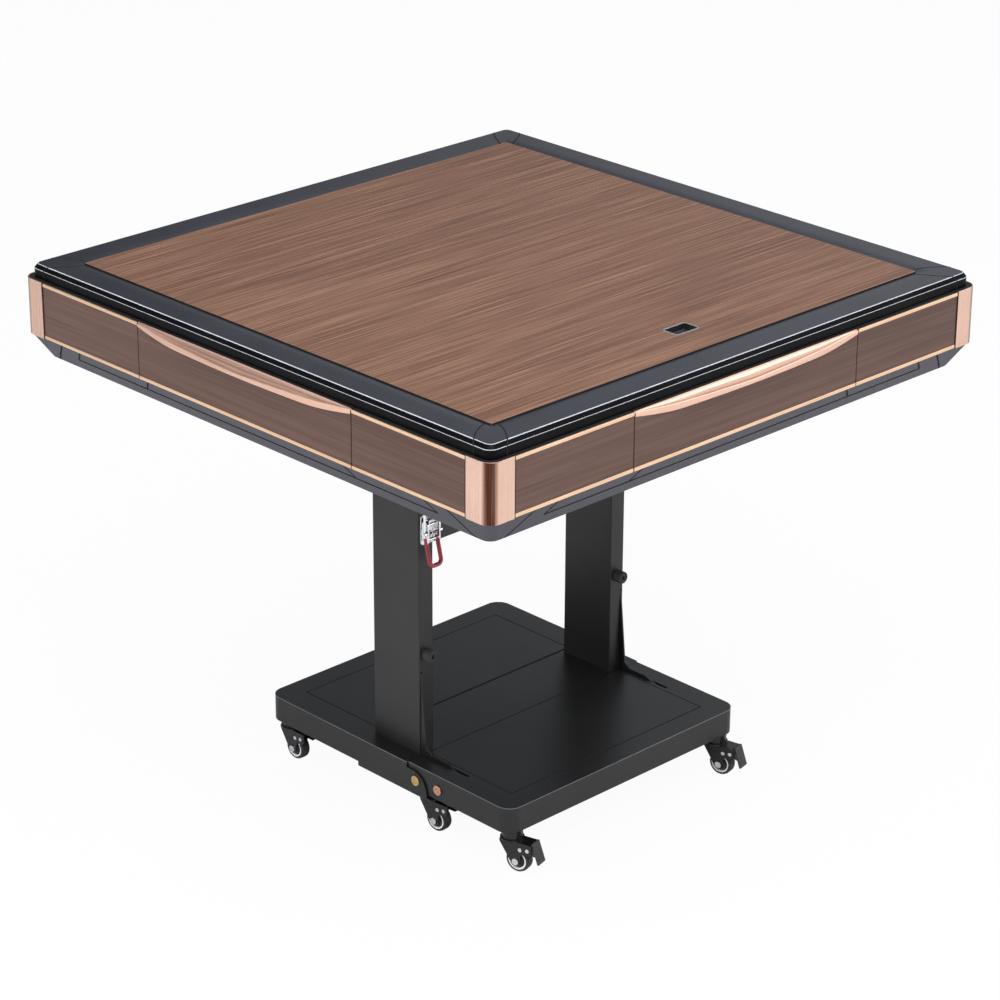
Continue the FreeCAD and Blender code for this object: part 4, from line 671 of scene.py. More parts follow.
def along(point: Sequence[float], direction: Sequence[float]) -> Matrix:
    """Matrix that stands the local Z axis on a point, along a direction."""
    turn = Vector(direction).to_track_quat("Z", "Y").to_matrix().to_4x4()
    return Matrix.Translation(Vector(point)) @ turn


def sweep(sections: Sequence[Sequence[Vector]]) -> Work:
    """Skin over a row of equal sections, with both ends capped."""
    work = bmesh.new()
    rings = [[work.verts.new(point) for point in section] for section in sections]
    skinned(rings, work, False)
    work.faces.new(rings[0])
    work.faces.new(rings[-1])
    return work


def bent_wire(points: Sequence[Point], bend: float, radius: float, steps: int) -> Work:
    """Round wire along straight runs with rounded bends.

    Args:
        points: Ends and bend corners of the wire.
        bend: Bend radius.
        radius: Wire radius.
        steps: Points around the wire, and twice the points in each bend.

    Returns:
        The wire's mesh.
    """
    corners = [Vector(point) for point in points]
    path = [corners[0]]
    for before, here, after in zip(corners, corners[1:], corners[2:]):
        first = (before - here).normalized()
        second = (after - here).normalized()
        half = first.angle(second) / 2
        reach = bend / math.tan(half)
        centre = here + (first + second).normalized() * (bend / math.sin(half))
        start = here + first * reach - centre
        turn = start.rotation_difference(here + second * reach - centre)
        for step in range(steps // 2 + 1):
            path.append(centre + Quaternion().slerp(turn, step * 2 / steps) @ start)
    path.append(corners[-1])
    sections = []
    side = (corners[1] - corners[0]).cross(corners[2] - corners[1]).normalized()
    for index, point in enumerate(path):
        ahead = path[min(index + 1, len(path) - 1)] - path[max(index - 1, 0)]
        ahead.normalize()
        across = ahead.cross(side).normalized()
        turns = (2 * math.pi * step / steps for step in range(steps))
        sections.append([point + (side * math.cos(a) + across * math.sin(a)) * radius for a in turns])
    return sweep(sections)


def screws(points: Iterable[Point], radius: float) -> Work:
    """Pan-head screws with round recesses that stand on places and face the -Y side."""
    rise = radius * 0.55
    profile = [
        (0.0, rise * 0.35),
        (radius * 0.34, rise * 0.35),
        (radius * 0.42, rise),
        (radius * 0.72, rise * 0.92),
        (radius * 0.94, rise * 0.5),
        (radius, 0.0),
        (0.0, -0.2 * rise),
    ]
    return joined(lathe(profile, along(point, FORWARD), 24) for point in points)


def welded(node: str) -> tuple[Work, str]:
    """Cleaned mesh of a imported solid, and the body that the solid is on."""
    source = FRAME["nodes"][node]
    work = bmesh.new()
    work.from_mesh(source.data)
    bmesh.ops.remove_doubles(work, verts=work.verts, dist=WELD)
    bmesh.ops.dissolve_limit(work, angle_limit=FLAT_ANGLE, verts=work.verts, edges=work.edges)
    return work, source["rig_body"]


def softened(node: str, width: float, look: Look, slot: str, rules: Rules = (), segments: int = 2) -> None:
    """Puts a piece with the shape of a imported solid, its sharp edges rounded, in its place.

    Args:
        node: The solid's node, which the piece stands for.
        width: Width of the edge rounding.
        look: Finish of every face that no rule claims.
        slot: Slot of the record that the finish belongs to.
        rules: Finishes and the tests of the face centres that take them, first match first.
        segments: Steps across each rounded edge.
    """
    work, body = welded(node)
    if width > 0:
        round_edges(work, width, segments)
    for face in work.faces:
        centre = face.calc_center_median()
        face.material_index = next((number for number, (_, test) in enumerate(rules, 1) if test(centre)), 0)
    piece = finished(node + "_look", work, look, body, slot, [choice for choice, _ in rules])
    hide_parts(node)


def edge_lines(node: str, name: str, width: float, look: Look, slot: str, test: EdgeTest) -> None:
    """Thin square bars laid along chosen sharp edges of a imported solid, all but flush with it.

    Args:
        node: The solid's node.
        name: Name of the new piece.
        width: Width of a bar.
        look: Finish of the bars.
        slot: Slot of the record that the finish belongs to.
        test: Test of an edge's middle and direction that chooses it.
    """
    solid, body = welded(node)
    solid.normal_update()
    work = bmesh.new()
    for edge in solid.edges:
        first, last = (vert.co for vert in edge.verts)
        run = last - first
        middle = (first + last) / 2
        sharp = len(edge.link_faces) == 2 and edge.calc_face_angle(0.0) >= BEVEL_ANGLE
        if not sharp or run.length < WELD or not test(middle, run.normalized()):
            continue
        outward = (edge.link_faces[0].normal + edge.link_faces[1].normal).normalized()
        ahead = run.normalized()
        across = outward.cross(ahead).normalized()
        turn = Matrix((ahead, across, ahead.cross(across))).transposed().to_4x4()
        turn = turn @ Matrix.Rotation(math.radians(45), 4, "X")
        reach = -LINE_PROUD if run.length > LONG_RUN else LINE_PROUD
        size = Matrix.Diagonal((run.length + reach * 2, width, width, 1.0))
        place = Matrix.Translation(middle - outward * (width / 2 - LINE_PROUD) * math.sqrt(2))
        bmesh.ops.create_cube(work, size=1.0, matrix=place @ turn @ size)
    solid.free()
    finished(name, work, look, body, slot)


def square(place: Vector) -> tuple[float, float]:
    """Larger and smaller of a place's distances from the table's axis along X and Y."""
    return max(abs(place.x), abs(place.y)), min(abs(place.x), abs(place.y))


def above(level: float) -> FaceTest:
    """Test for places above a level."""
    return lambda place: place.z > level


def faces_y_side(place: Vector) -> bool:
    """Whether a place on the head's rim belongs to the left or right side."""
    return abs(place.x) > abs(place.y)


@dataclass
class CoverBoard:
    """Lift-off cover: dark rails, corner pieces, wooden panel and pull cup."""

    edge: float = 0.9 * MM
    panel_edge: float = 0.7 * MM
    # Width of the panel's painted shadow and painted highlight edges.
    light_band: float = 0.9 * MM
    cup_edge: float = 0.35 * MM
    cup_rim: float = 0.8 * MM
    rail_width: float = 52.3 * MM
    chamfer: tuple[float, float] = (5.0 * MM, 6.0 * MM)
    corner_radius: float = 14.0 * MM
    seam_centre: tuple[float, float] = (-105.37 * MM, 73.84 * MM)
    seam_radius: float = 147.24 * MM
    seam_end: float = 66.0 * MM
    seam_shade: float = 1.4 * MM
    seam_line: float = 1.3 * MM
    ribs: int = 4
    rib_end: float = 6.0 * MM
    rib_half: float = 0.7 * MM
    rib_depths: tuple[float, float] = (9.2 * MM, 7.4 * MM)

    def build(self) -> None:
        """Dresses the four parts of the cover."""
        rules = self.rail_rules(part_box("cover_rails")[1])
        for node in ("cover_rails", "cover_corners"):
            softened(node, self.edge, Look.COVER_EDGE, "cover_charcoal", rules, 3)
        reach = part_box("cover_panel")[1].x - self.light_band
        # Painted shadow on the panel's front edges beside the rails, and a painted highlight on its back
        # edges.
        rules = [
            (Look.SEAM_BLACK, lambda place: min(place.x, place.y) < -reach),
            (Look.PANEL_EDGE, lambda place: max(place.x, place.y) > reach),
        ]
        softened("cover_panel", self.panel_edge, Look.TOP_WOOD, "top_wood", rules)
        low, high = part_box("pull_cup")
        rules = [(Look.STEEL, above(high.z - self.cup_rim))]
        softened("pull_cup", self.cup_edge, Look.WELL_DARK, "cup_metal", rules)
        self.grip_bar(low, high)
        self.seam_lines(*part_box("cover_corners"))

    def near_seam(self, place: Vector, half: float) -> bool:
        """Whether a place lies beside the curved seam of a corner piece."""
        across, beside = square(place)
        off = math.hypot(across - half - self.seam_centre[0], beside - half - self.seam_centre[1])
        return beside > half - self.seam_end and abs(off - self.seam_radius) < self.seam_shade

    def seam_lines(self, low: Vector, high: Vector) -> None:
        """Painted shade along the curved seams of the corner pieces, as dark bars."""
        floor = low.z + 0.5 * MM
        inner = high.x - self.rail_width - 0.5 * MM

        def test(middle: Vector, _run: Vector) -> bool:
            """Whether an edge runs along a seam."""
            return self.near_seam(middle, high.x) and middle.z > floor and square(middle)[0] > inner

        edge_lines("cover_corners", "cover_seam_lines", self.seam_line, Look.SEAM_BLACK, "rim_black", test)

    def rail_rules(self, high: Vector) -> Rules:
        """Painted shade in the seams and beside the panel, black sides, and painted highlight lines on both
        edges of the chamfer.
        """
        half, top = high.x, high.z
        start = half - self.corner_radius

        def reach(place: Vector) -> float:
            """How far out a place lies, measured square to the cover's outline."""
            across, beside = square(place)
            return start + math.hypot(across - start, beside - start) if beside > start else across

        def seam(place: Vector) -> bool:
            """Whether a place is in a corner seam or beside the panel, where shade is painted."""
            return self.near_seam(place, half) or reach(place) < half - self.rail_width + 1.2 * MM

        def line(place: Vector) -> bool:
            """Whether a place is on one of the painted highlight lines."""
            upper = abs(reach(place) - half + self.chamfer[0]) < 0.8 * MM and top - place.z < 0.8 * MM
            lower = reach(place) > half - 0.8 * MM and abs(top - self.chamfer[1] - place.z) < 0.4 * MM
            return upper or lower

        def side(place: Vector) -> bool:
            """Whether a place is on the outer side."""
            return reach(place) > half - self.chamfer[0]

        return [(Look.SEAM_BLACK, seam), (Look.BRIGHT_EDGE, line), (Look.COVER_BLACK, side)]

    def grip_bar(self, low: Vector, high: Vector) -> None:
        """Small ribbed lip inside the pull cup."""
        left, right = low.x + self.rib_end, high.x - self.rib_end
        bottom, top = (high.z - depth for depth in self.rib_depths)
        parts = []
        for row in range(1, self.ribs + 1):
            y = low.y + row * (high.y - low.y) / (self.ribs + 1)
            parts.append(block((left, y - self.rib_half, bottom), (right, y + self.rib_half, top), 0.3 * MM))
        finished("pull_cup_ribs", joined(parts), Look.FRAME_GREY, "cover", "cup_metal")


@dataclass
class Drawer:
    """One drawer: veneered front, bottom trim, scooped pull and open tray."""

    side: Side
    half: float = 212.9 * MM
    face: float = 464.3 * MM
    back: float = 452.5 * MM
    low: float = 662.5 * MM
    high: float = 743.5 * MM
    trim_height: float = 5.0 * MM
    trim_proud: float = 0.7 * MM
    pull_back: float = 462.3 * MM
    pull_depth: float = 16.5 * MM
    pull_end_depth: float = 7.5 * MM
    pull_proud: float = 0.6 * MM
    pull_soft: float = 1.2 * MM
    bulge: float = 8.8 * MM
    end_run: float = 90.0 * MM
    lip: float = 6.6 * MM
    stations: int = 72
    scoop_steps: int = 8
    scoop_dip: float = 0.9 * MM
    tray_half: float = 200.0 * MM
    tray_depth: float = 122.0 * MM
    tray_low: float = 671.0 * MM
    tray_height: float = 32.0 * MM
    tray_wall: float = 3.0 * MM
    tray_edge: float = 0.6 * MM
    divider: float = 0.34
    divider_drop: float = 8.0 * MM

    def build(self) -> None:
        """Makes the drawer's pieces in place of its solid."""
        grain = "Y" if self.side in (Side.LEFT, Side.RIGHT) else "X"
        body = "drawer_" + self.side.label
        for word, work, look, slot in (
            ("front", self.front(), Look["SIDE_WOOD_" + grain], "drawer_wood"),
            # The rear edge is painted black as shade under the cover.
            ("rear_edge", self.rear_edge(), Look.SEAM_BLACK, "rim_black"),
            ("trim", self.trim(), Look["GOLD_" + grain], "gold_trim"),
            ("pull", self.pull(), Look["ROSE_METAL_" + grain], "rose_metal"),
            ("tray", self.tray(), Look.TRAY_PLASTIC, "rim_black"),
        ):
            work.transform(self.side.turn)
            piece = finished(f"{body}_{word}", work, look, body, slot)
            if word == "front":
                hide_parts(body)

    def bar(self, out: float, back: float, low: float, high: float, edge: float) -> Work:
        """Block over the whole width of the drawer."""
        return block((-self.half, -out, low), (self.half, -back, high), edge)

    def front(self) -> Work:
        """Veneered board between the trim and the pull."""
        top = self.high - self.pull_end_depth
        return self.bar(self.face, self.back, self.low + self.trim_height, top, 0.4 * MM)

    def rear_edge(self) -> Work:
        """Edge of the front board behind the pull, painted black as shade under the cover."""
        low = self.high - self.pull_end_depth - 1 * MM
        return self.bar(self.pull_back, self.back, low, self.high, 0.3 * MM)

    def trim(self) -> Work:
        """Gold strip along the bottom."""
        out = self.face + self.trim_proud
        return self.bar(out, self.pull_back, self.low, self.low + self.trim_height, 0.5 * MM)

    def depth(self, place: float) -> float:
        """Height of the pull at a place along the drawer."""
        share = min(1.0, (self.half - abs(place)) / self.end_run)
        return self.pull_end_depth + (self.pull_depth - self.pull_end_depth) * math.sin(share * math.pi / 2)

    def pull(self) -> Work:
        """Bulging metal pull whose upper face is scooped along its length."""
        sections = []
        for station in range(self.stations + 1):
            place = self.half * (2 * station / self.stations - 1)
            share = min(1.0, (self.half - abs(place)) / self.half)
            out = self.face + self.bulge * math.sin(share * math.pi / 2) + self.pull_proud
            low = self.high - self.depth(place)
            rise = low + self.lip + (self.high - low - self.lip) * (1 - share) * 0.5
            outline = self.section(out, low, min(self.high - self.pull_soft, rise))
            sections.append([Vector((place, -p, z)) for p, z in outline])
        return sweep(sections)

    def section(self, out: float, low: float, lip: float) -> Profile:
        """Outline of the pull across its length, from the lower back round the front."""
        soft, back = self.pull_soft, self.pull_back
        points = [(back, low), (out - soft * 1.6, low),
                  (out - soft * 0.5, low + soft * 0.3), (out, low + soft)]
        points += [(out, lip - soft), (out - soft * 0.35, lip - soft * 0.3), (out - soft, lip)]
        reach = out - soft - back - 0.5 * MM
        for step in range(1, self.scoop_steps + 1):
            angle = step / self.scoop_steps * math.pi / 2
            rise = (self.high - lip) * (1 - math.cos(angle)) - self.scoop_dip * math.sin(2 * angle)
            points.append((out - soft - reach * math.sin(angle), lip + rise))
        return [*points, (back, self.high)]

    def tray(self) -> Work:
        """Open moulded tray behind the front."""
        front, back = -self.back, self.tray_depth - self.back
        wall, low, half = self.tray_wall, self.tray_low, self.tray_half
        top = low + self.tray_height
        parts = [block((-half, front, low), (half, back, low + wall), self.tray_edge)]
        for x in (-half, half - wall):
            parts.append(block((x, front, low), (x + wall, back, top), self.tray_edge))
        for y in (front, back - wall):
            parts.append(block((-half, y, low), (half, y + wall, top), self.tray_edge))
        for x in (-half * self.divider, half * self.divider):
            lowered = top - self.divider_drop
            parts.append(block((x - wall / 3, front, low), (x + wall / 3, back, lowered), self.tray_edge / 2))
        return joined(parts)


@dataclass
class HeadSides:
    """Outer skin of the head: fixed panels, trims, corner caps and lower shell."""

    panel_edge: float = 0.5 * MM
    trim_edge: float = 0.5 * MM
    cap_edge: float = 0.8 * MM
    rim_edge: float = 0.8 * MM
    shell_edge: float = 0.35 * MM
    shell_low: float = 443.0 * MM
    shell_high: float = 463.5 * MM
    shell_corner: float = 17.0 * MM
    cap_width: float = 43.5 * MM
    cap_over: float = 1.0 * MM
    cap_line: float = 1.3 * MM
    shell_line: float = 0.9 * MM
    seam_depths: tuple[float, float] = (0.08 * MM, 2.2 * MM)
    touch: float = 0.4 * MM

    def build(self) -> None:
        """Dresses the fixed outside of the head."""
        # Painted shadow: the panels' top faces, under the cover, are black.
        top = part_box("side_panels")[1].z - 0.5 * MM
        rules = [(Look.SEAM_BLACK, above(top)), (Look.SIDE_WOOD_Y, faces_y_side)]
        softened("side_panels", self.panel_edge, Look.SIDE_WOOD_X, "side_wood", rules)
        softened("panel_trims", self.trim_edge, Look.GOLD_X, "gold_trim", [(Look.GOLD_Y, faces_y_side)])
        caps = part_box("corner_caps")[1]
        # Painted shadow: the caps' step a little below their top, under the cover, is black.
        cap_top_shadow = [(Look.SEAM_BLACK, lambda place: abs(place.z - caps.z + self.cap_over) < 0.3 * MM)]
        softened("corner_caps", self.cap_edge, Look.ROSE_METAL_Z, "rose_metal", cap_top_shadow, 3)

        def cap_side(middle: Vector, run: Vector) -> bool:
            """Whether an edge is an upright side of a cap."""
            across, beside = square(middle)
            near = abs(beside - caps.x + self.cap_width) < self.touch
            return abs(run.z) > 0.9 and across > caps.x - self.touch and near

        # Black bars on the caps' upright sides are painted shadow in the gap beside the panels.
        edge_lines("corner_caps", "cap_side_lines", self.cap_line, Look.SEAM_BLACK, "rim_black", cap_side)
        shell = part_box("lower_shell")
        # Painted shade: the groove faces inside the shell's skin and bars along the groove rims are black.
        seams = [(Look.SEAM_BLACK, self.in_skin(*shell, self.shell_edge, *self.seam_depths))]
        rims = self.in_skin(*shell, 0.3 * MM, -0.12 * MM, 0.12 * MM)
        for node in ("lower_shell", "shell_corners"):
            softened(node, self.shell_edge, Look.SHELL, "shell_plastic", seams)
        softened("table_rim", self.rim_edge, Look.RIM_BLACK, "rim_black")
        for node in ("lower_shell", "shell_corners"):
            name = node + "_lines"
            edge_lines(node, name, self.shell_line, Look.SEAM_BLACK, "rim_black",
                       lambda middle, _: rims(middle))

    def in_skin(self, low: Vector, high: Vector, margin: float, least: float, most: float) -> FaceTest:
        """Test for places at some depth inside the leaning skin of the shell.

        Args:
            low: Lowest corner of the shell.
            high: Highest corner of the shell.
            margin: Height left out at the top and the bottom.
            least: Smallest depth.
            most: Largest depth.

        Returns:
            The test.
        """
        lean = (self.shell_high - self.shell_low) / (high.z - low.z)

        def test(place: Vector) -> bool:
            """Whether a place lies between both depths."""
            across, beside = square(place)
            skin = self.shell_low + lean * (place.z - low.z)
            level = low.z + margin < place.z < high.z - margin
            return level and beside < skin - self.shell_corner and least < skin - across < most

        return test


@dataclass
class PlayTop:
    """Play board with its cloth, centre unit, dome, dice and tile lifts."""

    cloth: float = 0.4 * MM
    lift_cloth: float = 4.5 * MM
    ring_inner: float = 57.0 * MM
    ring_outer: float = 64.0 * MM
    ring_soft: float = 1.2 * MM
    ring_side: float = 0.8 * MM
    ring_height: float = 2.0 * MM
    dice_tray: float = 51.0 * MM
    dice_tray_levels: tuple[float, float] = (-4.5 * MM, -3.0 * MM)
    dice_half: float = 4.0 * MM
    dice_places: tuple[Point, ...] = ((-14 * MM, 6 * MM, 0.4), (13 * MM, -9 * MM, 1.1))

    def build(self) -> None:
        """Dresses everything under the cover."""
        cloth = [(Look.CLOTH, above(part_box("play_board")[1].z - self.cloth))]
        softened("play_board", 0.4 * MM, Look.RIM_BLACK, "play_board", cloth)
        cloth = [(Look.CLOTH, above(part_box("tile_lifts")[1].z - self.lift_cloth))]
        softened("tile_lifts", 0.5 * MM, Look.STEEL, "lift_plastic", cloth)
        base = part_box("centre_unit")[1].z - 2.0 * MM
        buttons = [
            (Look.BUTTON_RED, above(base + 0.6 * MM)),
            (Look.FRAME_GREY, lambda place: place.z < base - 50 * MM),
        ]
        softened("centre_unit", 0.5 * MM, Look.GLOSS_BLACK, "centre_gloss", buttons)
        softened("dome", 0.0, Look.CLEAR, "dome_clear")
        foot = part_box("dome")[0].z
        self.dome_ring(along((0, 0, foot), UP))
        self.dice(foot)

    def dome_ring(self, place: Matrix) -> None:
        """Metal ring around the foot of the dome."""
        inner, outer, soft = self.ring_inner, self.ring_outer, self.ring_soft
        profile = [(inner, 0), (outer, 0), (outer, self.ring_side), (outer - soft, self.ring_height)]
        profile += [(inner + soft, self.ring_height), (inner, self.ring_side)]
        finished("dome_ring", lathe(profile, place, 72), Look.STEEL, "head", "cup_metal")

    def dice(self, foot: float) -> None:
        """Two small dice on the tray under the dome."""
        half = self.dice_half
        low, high = self.dice_tray_levels
        parts = []
        for x, y, turn in self.dice_places:
            place = Matrix.Translation((x, y, foot + high + half)) @ Matrix.Rotation(turn, 4, "Z")
            parts.append(block((-half, -half, -half), (half, half, half), 1.0 * MM, place, 3))
        finished("dice", joined(parts), Look.PALE_RING, "head", "runner_white")
        profile = [(0, low), (self.dice_tray, low), (self.dice_tray, high), (0, high)]
        plate = lathe(profile, along((0, 0, foot), UP), 60)
        finished("dice_tray", plate, Look.CLOTH, "head", "play_board")


@dataclass
class Machine:
    """Works inside the head and the tub under it."""

    edge: float = 0.5 * MM
    board_thickness: float = 8.1 * MM
    inlet_half: float = 40.0 * MM
    inlet_start: float = 110.0 * MM
    louvre_rows: int = 6
    louvre_low: float = 547.0 * MM
    louvre_pitch: float = 9.0 * MM
    louvre_height: float = 4.0 * MM
    louvre_half: float = 40.0 * MM
    louvre_centre: float = 80.0 * MM
    louvre_faces: tuple[float, float] = (-111.4 * MM, -109.6 * MM)

    def build(self) -> None:
        """Dresses the works and the tub with its power inlet."""
        for node, look, slot in (
            ("head_frame", Look.FRAME_GREY, "frame_steel"),
            ("drawer_runners", Look.PALE_PLASTIC, "runner_white"),
            ("mixing_bowl", Look.GREY_PLASTIC, "bowl_plastic"),
            ("turntable", Look.GREY_PLASTIC, "bowl_plastic"),
            ("motor_pulley", Look.MOTOR_METAL, "pulley_metal"),
            ("drive_motor", Look.MOTOR_METAL, "motor_metal"),
        ):
            softened(node, self.edge, look, slot)
        softened("drive_belt", 0.0, Look.BELT, "belt_rubber")
        chips = [(Look.WELL_DARK, above(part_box("control_board")[0].z + self.board_thickness))]
        softened("control_board", self.edge, Look.BOARD_GREEN, "board_green", chips)

        def inlet(place: Vector) -> bool:
            """Whether a place is on the power inlet."""
            return abs(place.x) < self.inlet_half and place.y > self.inlet_start

        softened("machine_tub", self.edge, Look.TUB_GREY, "tub_grey", [(Look.GLOSS_BLACK, inlet)])
        self.louvres()

    def louvres(self) -> None:
        """Raised louvres on the tub's front wall."""
        out, back = self.louvre_faces
        parts = []
        for row in range(self.louvre_rows):
            z = self.louvre_low + row * self.louvre_pitch
            for middle in (-self.louvre_centre, self.louvre_centre):
                low = (middle - self.louvre_half, out, z)
                parts.append(block(low, (middle + self.louvre_half, back, z + self.louvre_height), 0.8 * MM))
        finished("tub_louvres", joined(parts), Look.TUB_GREY, "head", "tub_grey")


@dataclass
class SwingFrame:
    """Frame under the head in front of the columns, with the draw latch."""

    edge: float = 0.9 * MM
    plate_face: float = -56.0 * MM
    plate_screw: float = 3.2 * MM
    plate_screw_off: float = 9.0 * MM
    plate_screw_levels: tuple[float, ...] = (527 * MM, 557 * MM, 587 * MM, 615 * MM)
    base_face: float = -57.4 * MM
    base_screw: float = 2.4 * MM
    base_screw_levels: tuple[float, ...] = (428.2 * MM, 463.8 * MM)
    grip_half: float = 10.5 * MM
    grip_foot: Point = (0.0, -64.77 * MM, 433.0 * MM)
    grip_run: Point = (0.0, -9.0 * MM, -36.0 * MM)
    grip_radius: float = 3.0 * MM
    grip_bend: float = 7.0 * MM

    def build(self) -> None:
        """Dresses the frame, the latch base, the lever and the bail."""
        softened("swing_frame", self.edge, Look.COLUMN_BLACK, "column_black")
        for node, width in (("latch_base", 0.35 * MM), ("latch_lever", 0.25 * MM), ("latch_bail", 0.0)):
            softened(node, width, Look.CHROME, "latch_chrome")
        small = screws(((-COLUMN_CENTRE, self.base_face, z) for z in self.base_screw_levels), self.base_screw)
        finished("latch_base_screws", small, Look.STEEL, "head", "latch_chrome")
        large = screws(self.plate_places(), self.plate_screw)
        finished("swing_plate_screws", large, Look.CASTER_BLACK, "head", "column_black")
        self.sleeve()

    def plate_places(self) -> Iterable[Point]:
        """Places of the screws in the swing frame's plates."""
        for hand in Hand:
            middle = hand.value * COLUMN_CENTRE
            for z in self.plate_screw_levels:
                for x in (middle - self.plate_screw_off, middle + self.plate_screw_off):
                    yield (x, self.plate_face, z)

    def sleeve(self) -> None:
        """Red vinyl sleeve over the grip loop of the latch."""
        foot, run = Vector(self.grip_foot), Vector(self.grip_run)
        low = foot + run
        start = foot - run * 0.1
        left, right = -COLUMN_CENTRE - self.grip_half, self.grip_half - COLUMN_CENTRE
        points = [(x, end.y, end.z) for x, end in ((left, start), (left, low), (right, low), (right, start))]
        work = bent_wire(points, self.grip_bend, self.grip_radius, 18)
        finished("grip_sleeve", work, Look.RED_VINYL, "latch_lever", "bumper_rubber")


@dataclass
class Columns:
    """Two columns with the beam between them, gusset plates and rubber bumpers."""

    edge: float = 0.8 * MM
    gusset_edge: float = 0.6 * MM
    bumper_front: float = -67.0 * MM
    bumper_height: float = 254.2 * MM
    screw_sunk: float = 4.6 * MM
    screw: float = 2.8 * MM

    def build(self) -> None:
        """Dresses the columns and what is fixed to them."""
        softened("columns", self.edge, Look.COLUMN_BLACK, "column_black", segments=3)
        softened("cross_beam", self.edge, Look.COLUMN_BLACK, "column_black")
        softened("gusset_plates", self.gusset_edge, Look.BASE_BLACK, "base_black")
        softened("bumpers", 0.0, Look.BUMPER_RUBBER, "bumper_rubber")
        face = self.bumper_front + self.screw_sunk
        heads = screws(((hand.value * COLUMN_CENTRE, face, self.bumper_height) for hand in Hand), self.screw)
        finished("bumper_screws", heads, Look.STEEL, "stand", "latch_chrome")


@dataclass
class Base:
    """Both halves of the base with decks and hinge bolts."""

    edge: float = 1.1 * MM
    deck_edge: float = 0.5 * MM
    bolt_edge: float = 0.4 * MM
    split: float = -57.8 * MM
    deck_line: float = 1.4 * MM
    frame_line: float = 0.8 * MM
    border: float = 6.0 * MM
    deck_clear: float = 3.0 * MM
    frame_clear: float = 8.0 * MM

    def build(self) -> None:
        """Dresses the base."""
        for node in ("rear_frame", "front_frame"):
            softened(node, self.edge, Look.BASE_BLACK, "base_black", segments=3)
        for node in ("rear_decks", "front_deck", "cross_channel", "hinge_arms"):
            softened(node, self.deck_edge, Look.BASE_BLACK, "base_black")
        # Black bars along the decks' top edges are painted shade in the gaps around them.
        for node in ("rear_decks", "front_deck"):
            test = self.level_edge(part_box("front_deck")[1].z, self.deck_clear)
            edge_lines(node, node + "_lines", self.deck_line, Look.SEAM_BLACK, "base_black", test)
        # Light bars along the frames' upper outline are a painted highlight on those edges.
        for node in ("rear_frame", "front_frame"):
            test = self.outline(*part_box(node))
            edge_lines(node, node + "_edge_lines", self.frame_line, Look.EDGE_SHEEN, "base_black", test)
        softened("hinge_pins", self.bolt_edge, Look.BRASS, "brass_bolt")
        softened("bracket_pins", self.bolt_edge, Look.COPPER, "copper_bolt")

    def level_edge(self, top: float, clear: float = 0.0) -> EdgeTest:
        """Test for level edges at a height that keep clear of the split between the halves."""

        def test(middle: Vector, run: Vector) -> bool:
            """Whether an edge is level, high enough and clear of the split."""
            return middle.z > top - 1 * MM and abs(run.z) < 0.1 and abs(middle.y - self.split) >= clear

        return test

    def outline(self, low: Vector, high: Vector) -> EdgeTest:
        """Test for the upper outer edges of a frame."""
        sides, ends = self.level_edge(high.z), self.level_edge(high.z, self.frame_clear)

        def test(middle: Vector, run: Vector) -> bool:
            """Whether an edge belongs to the outline."""
            if abs(middle.x) > high.x - self.border:
                return sides(middle, run)
            return min(middle.y - low.y, high.y - middle.y) < self.border and ends(middle, run)

        return test


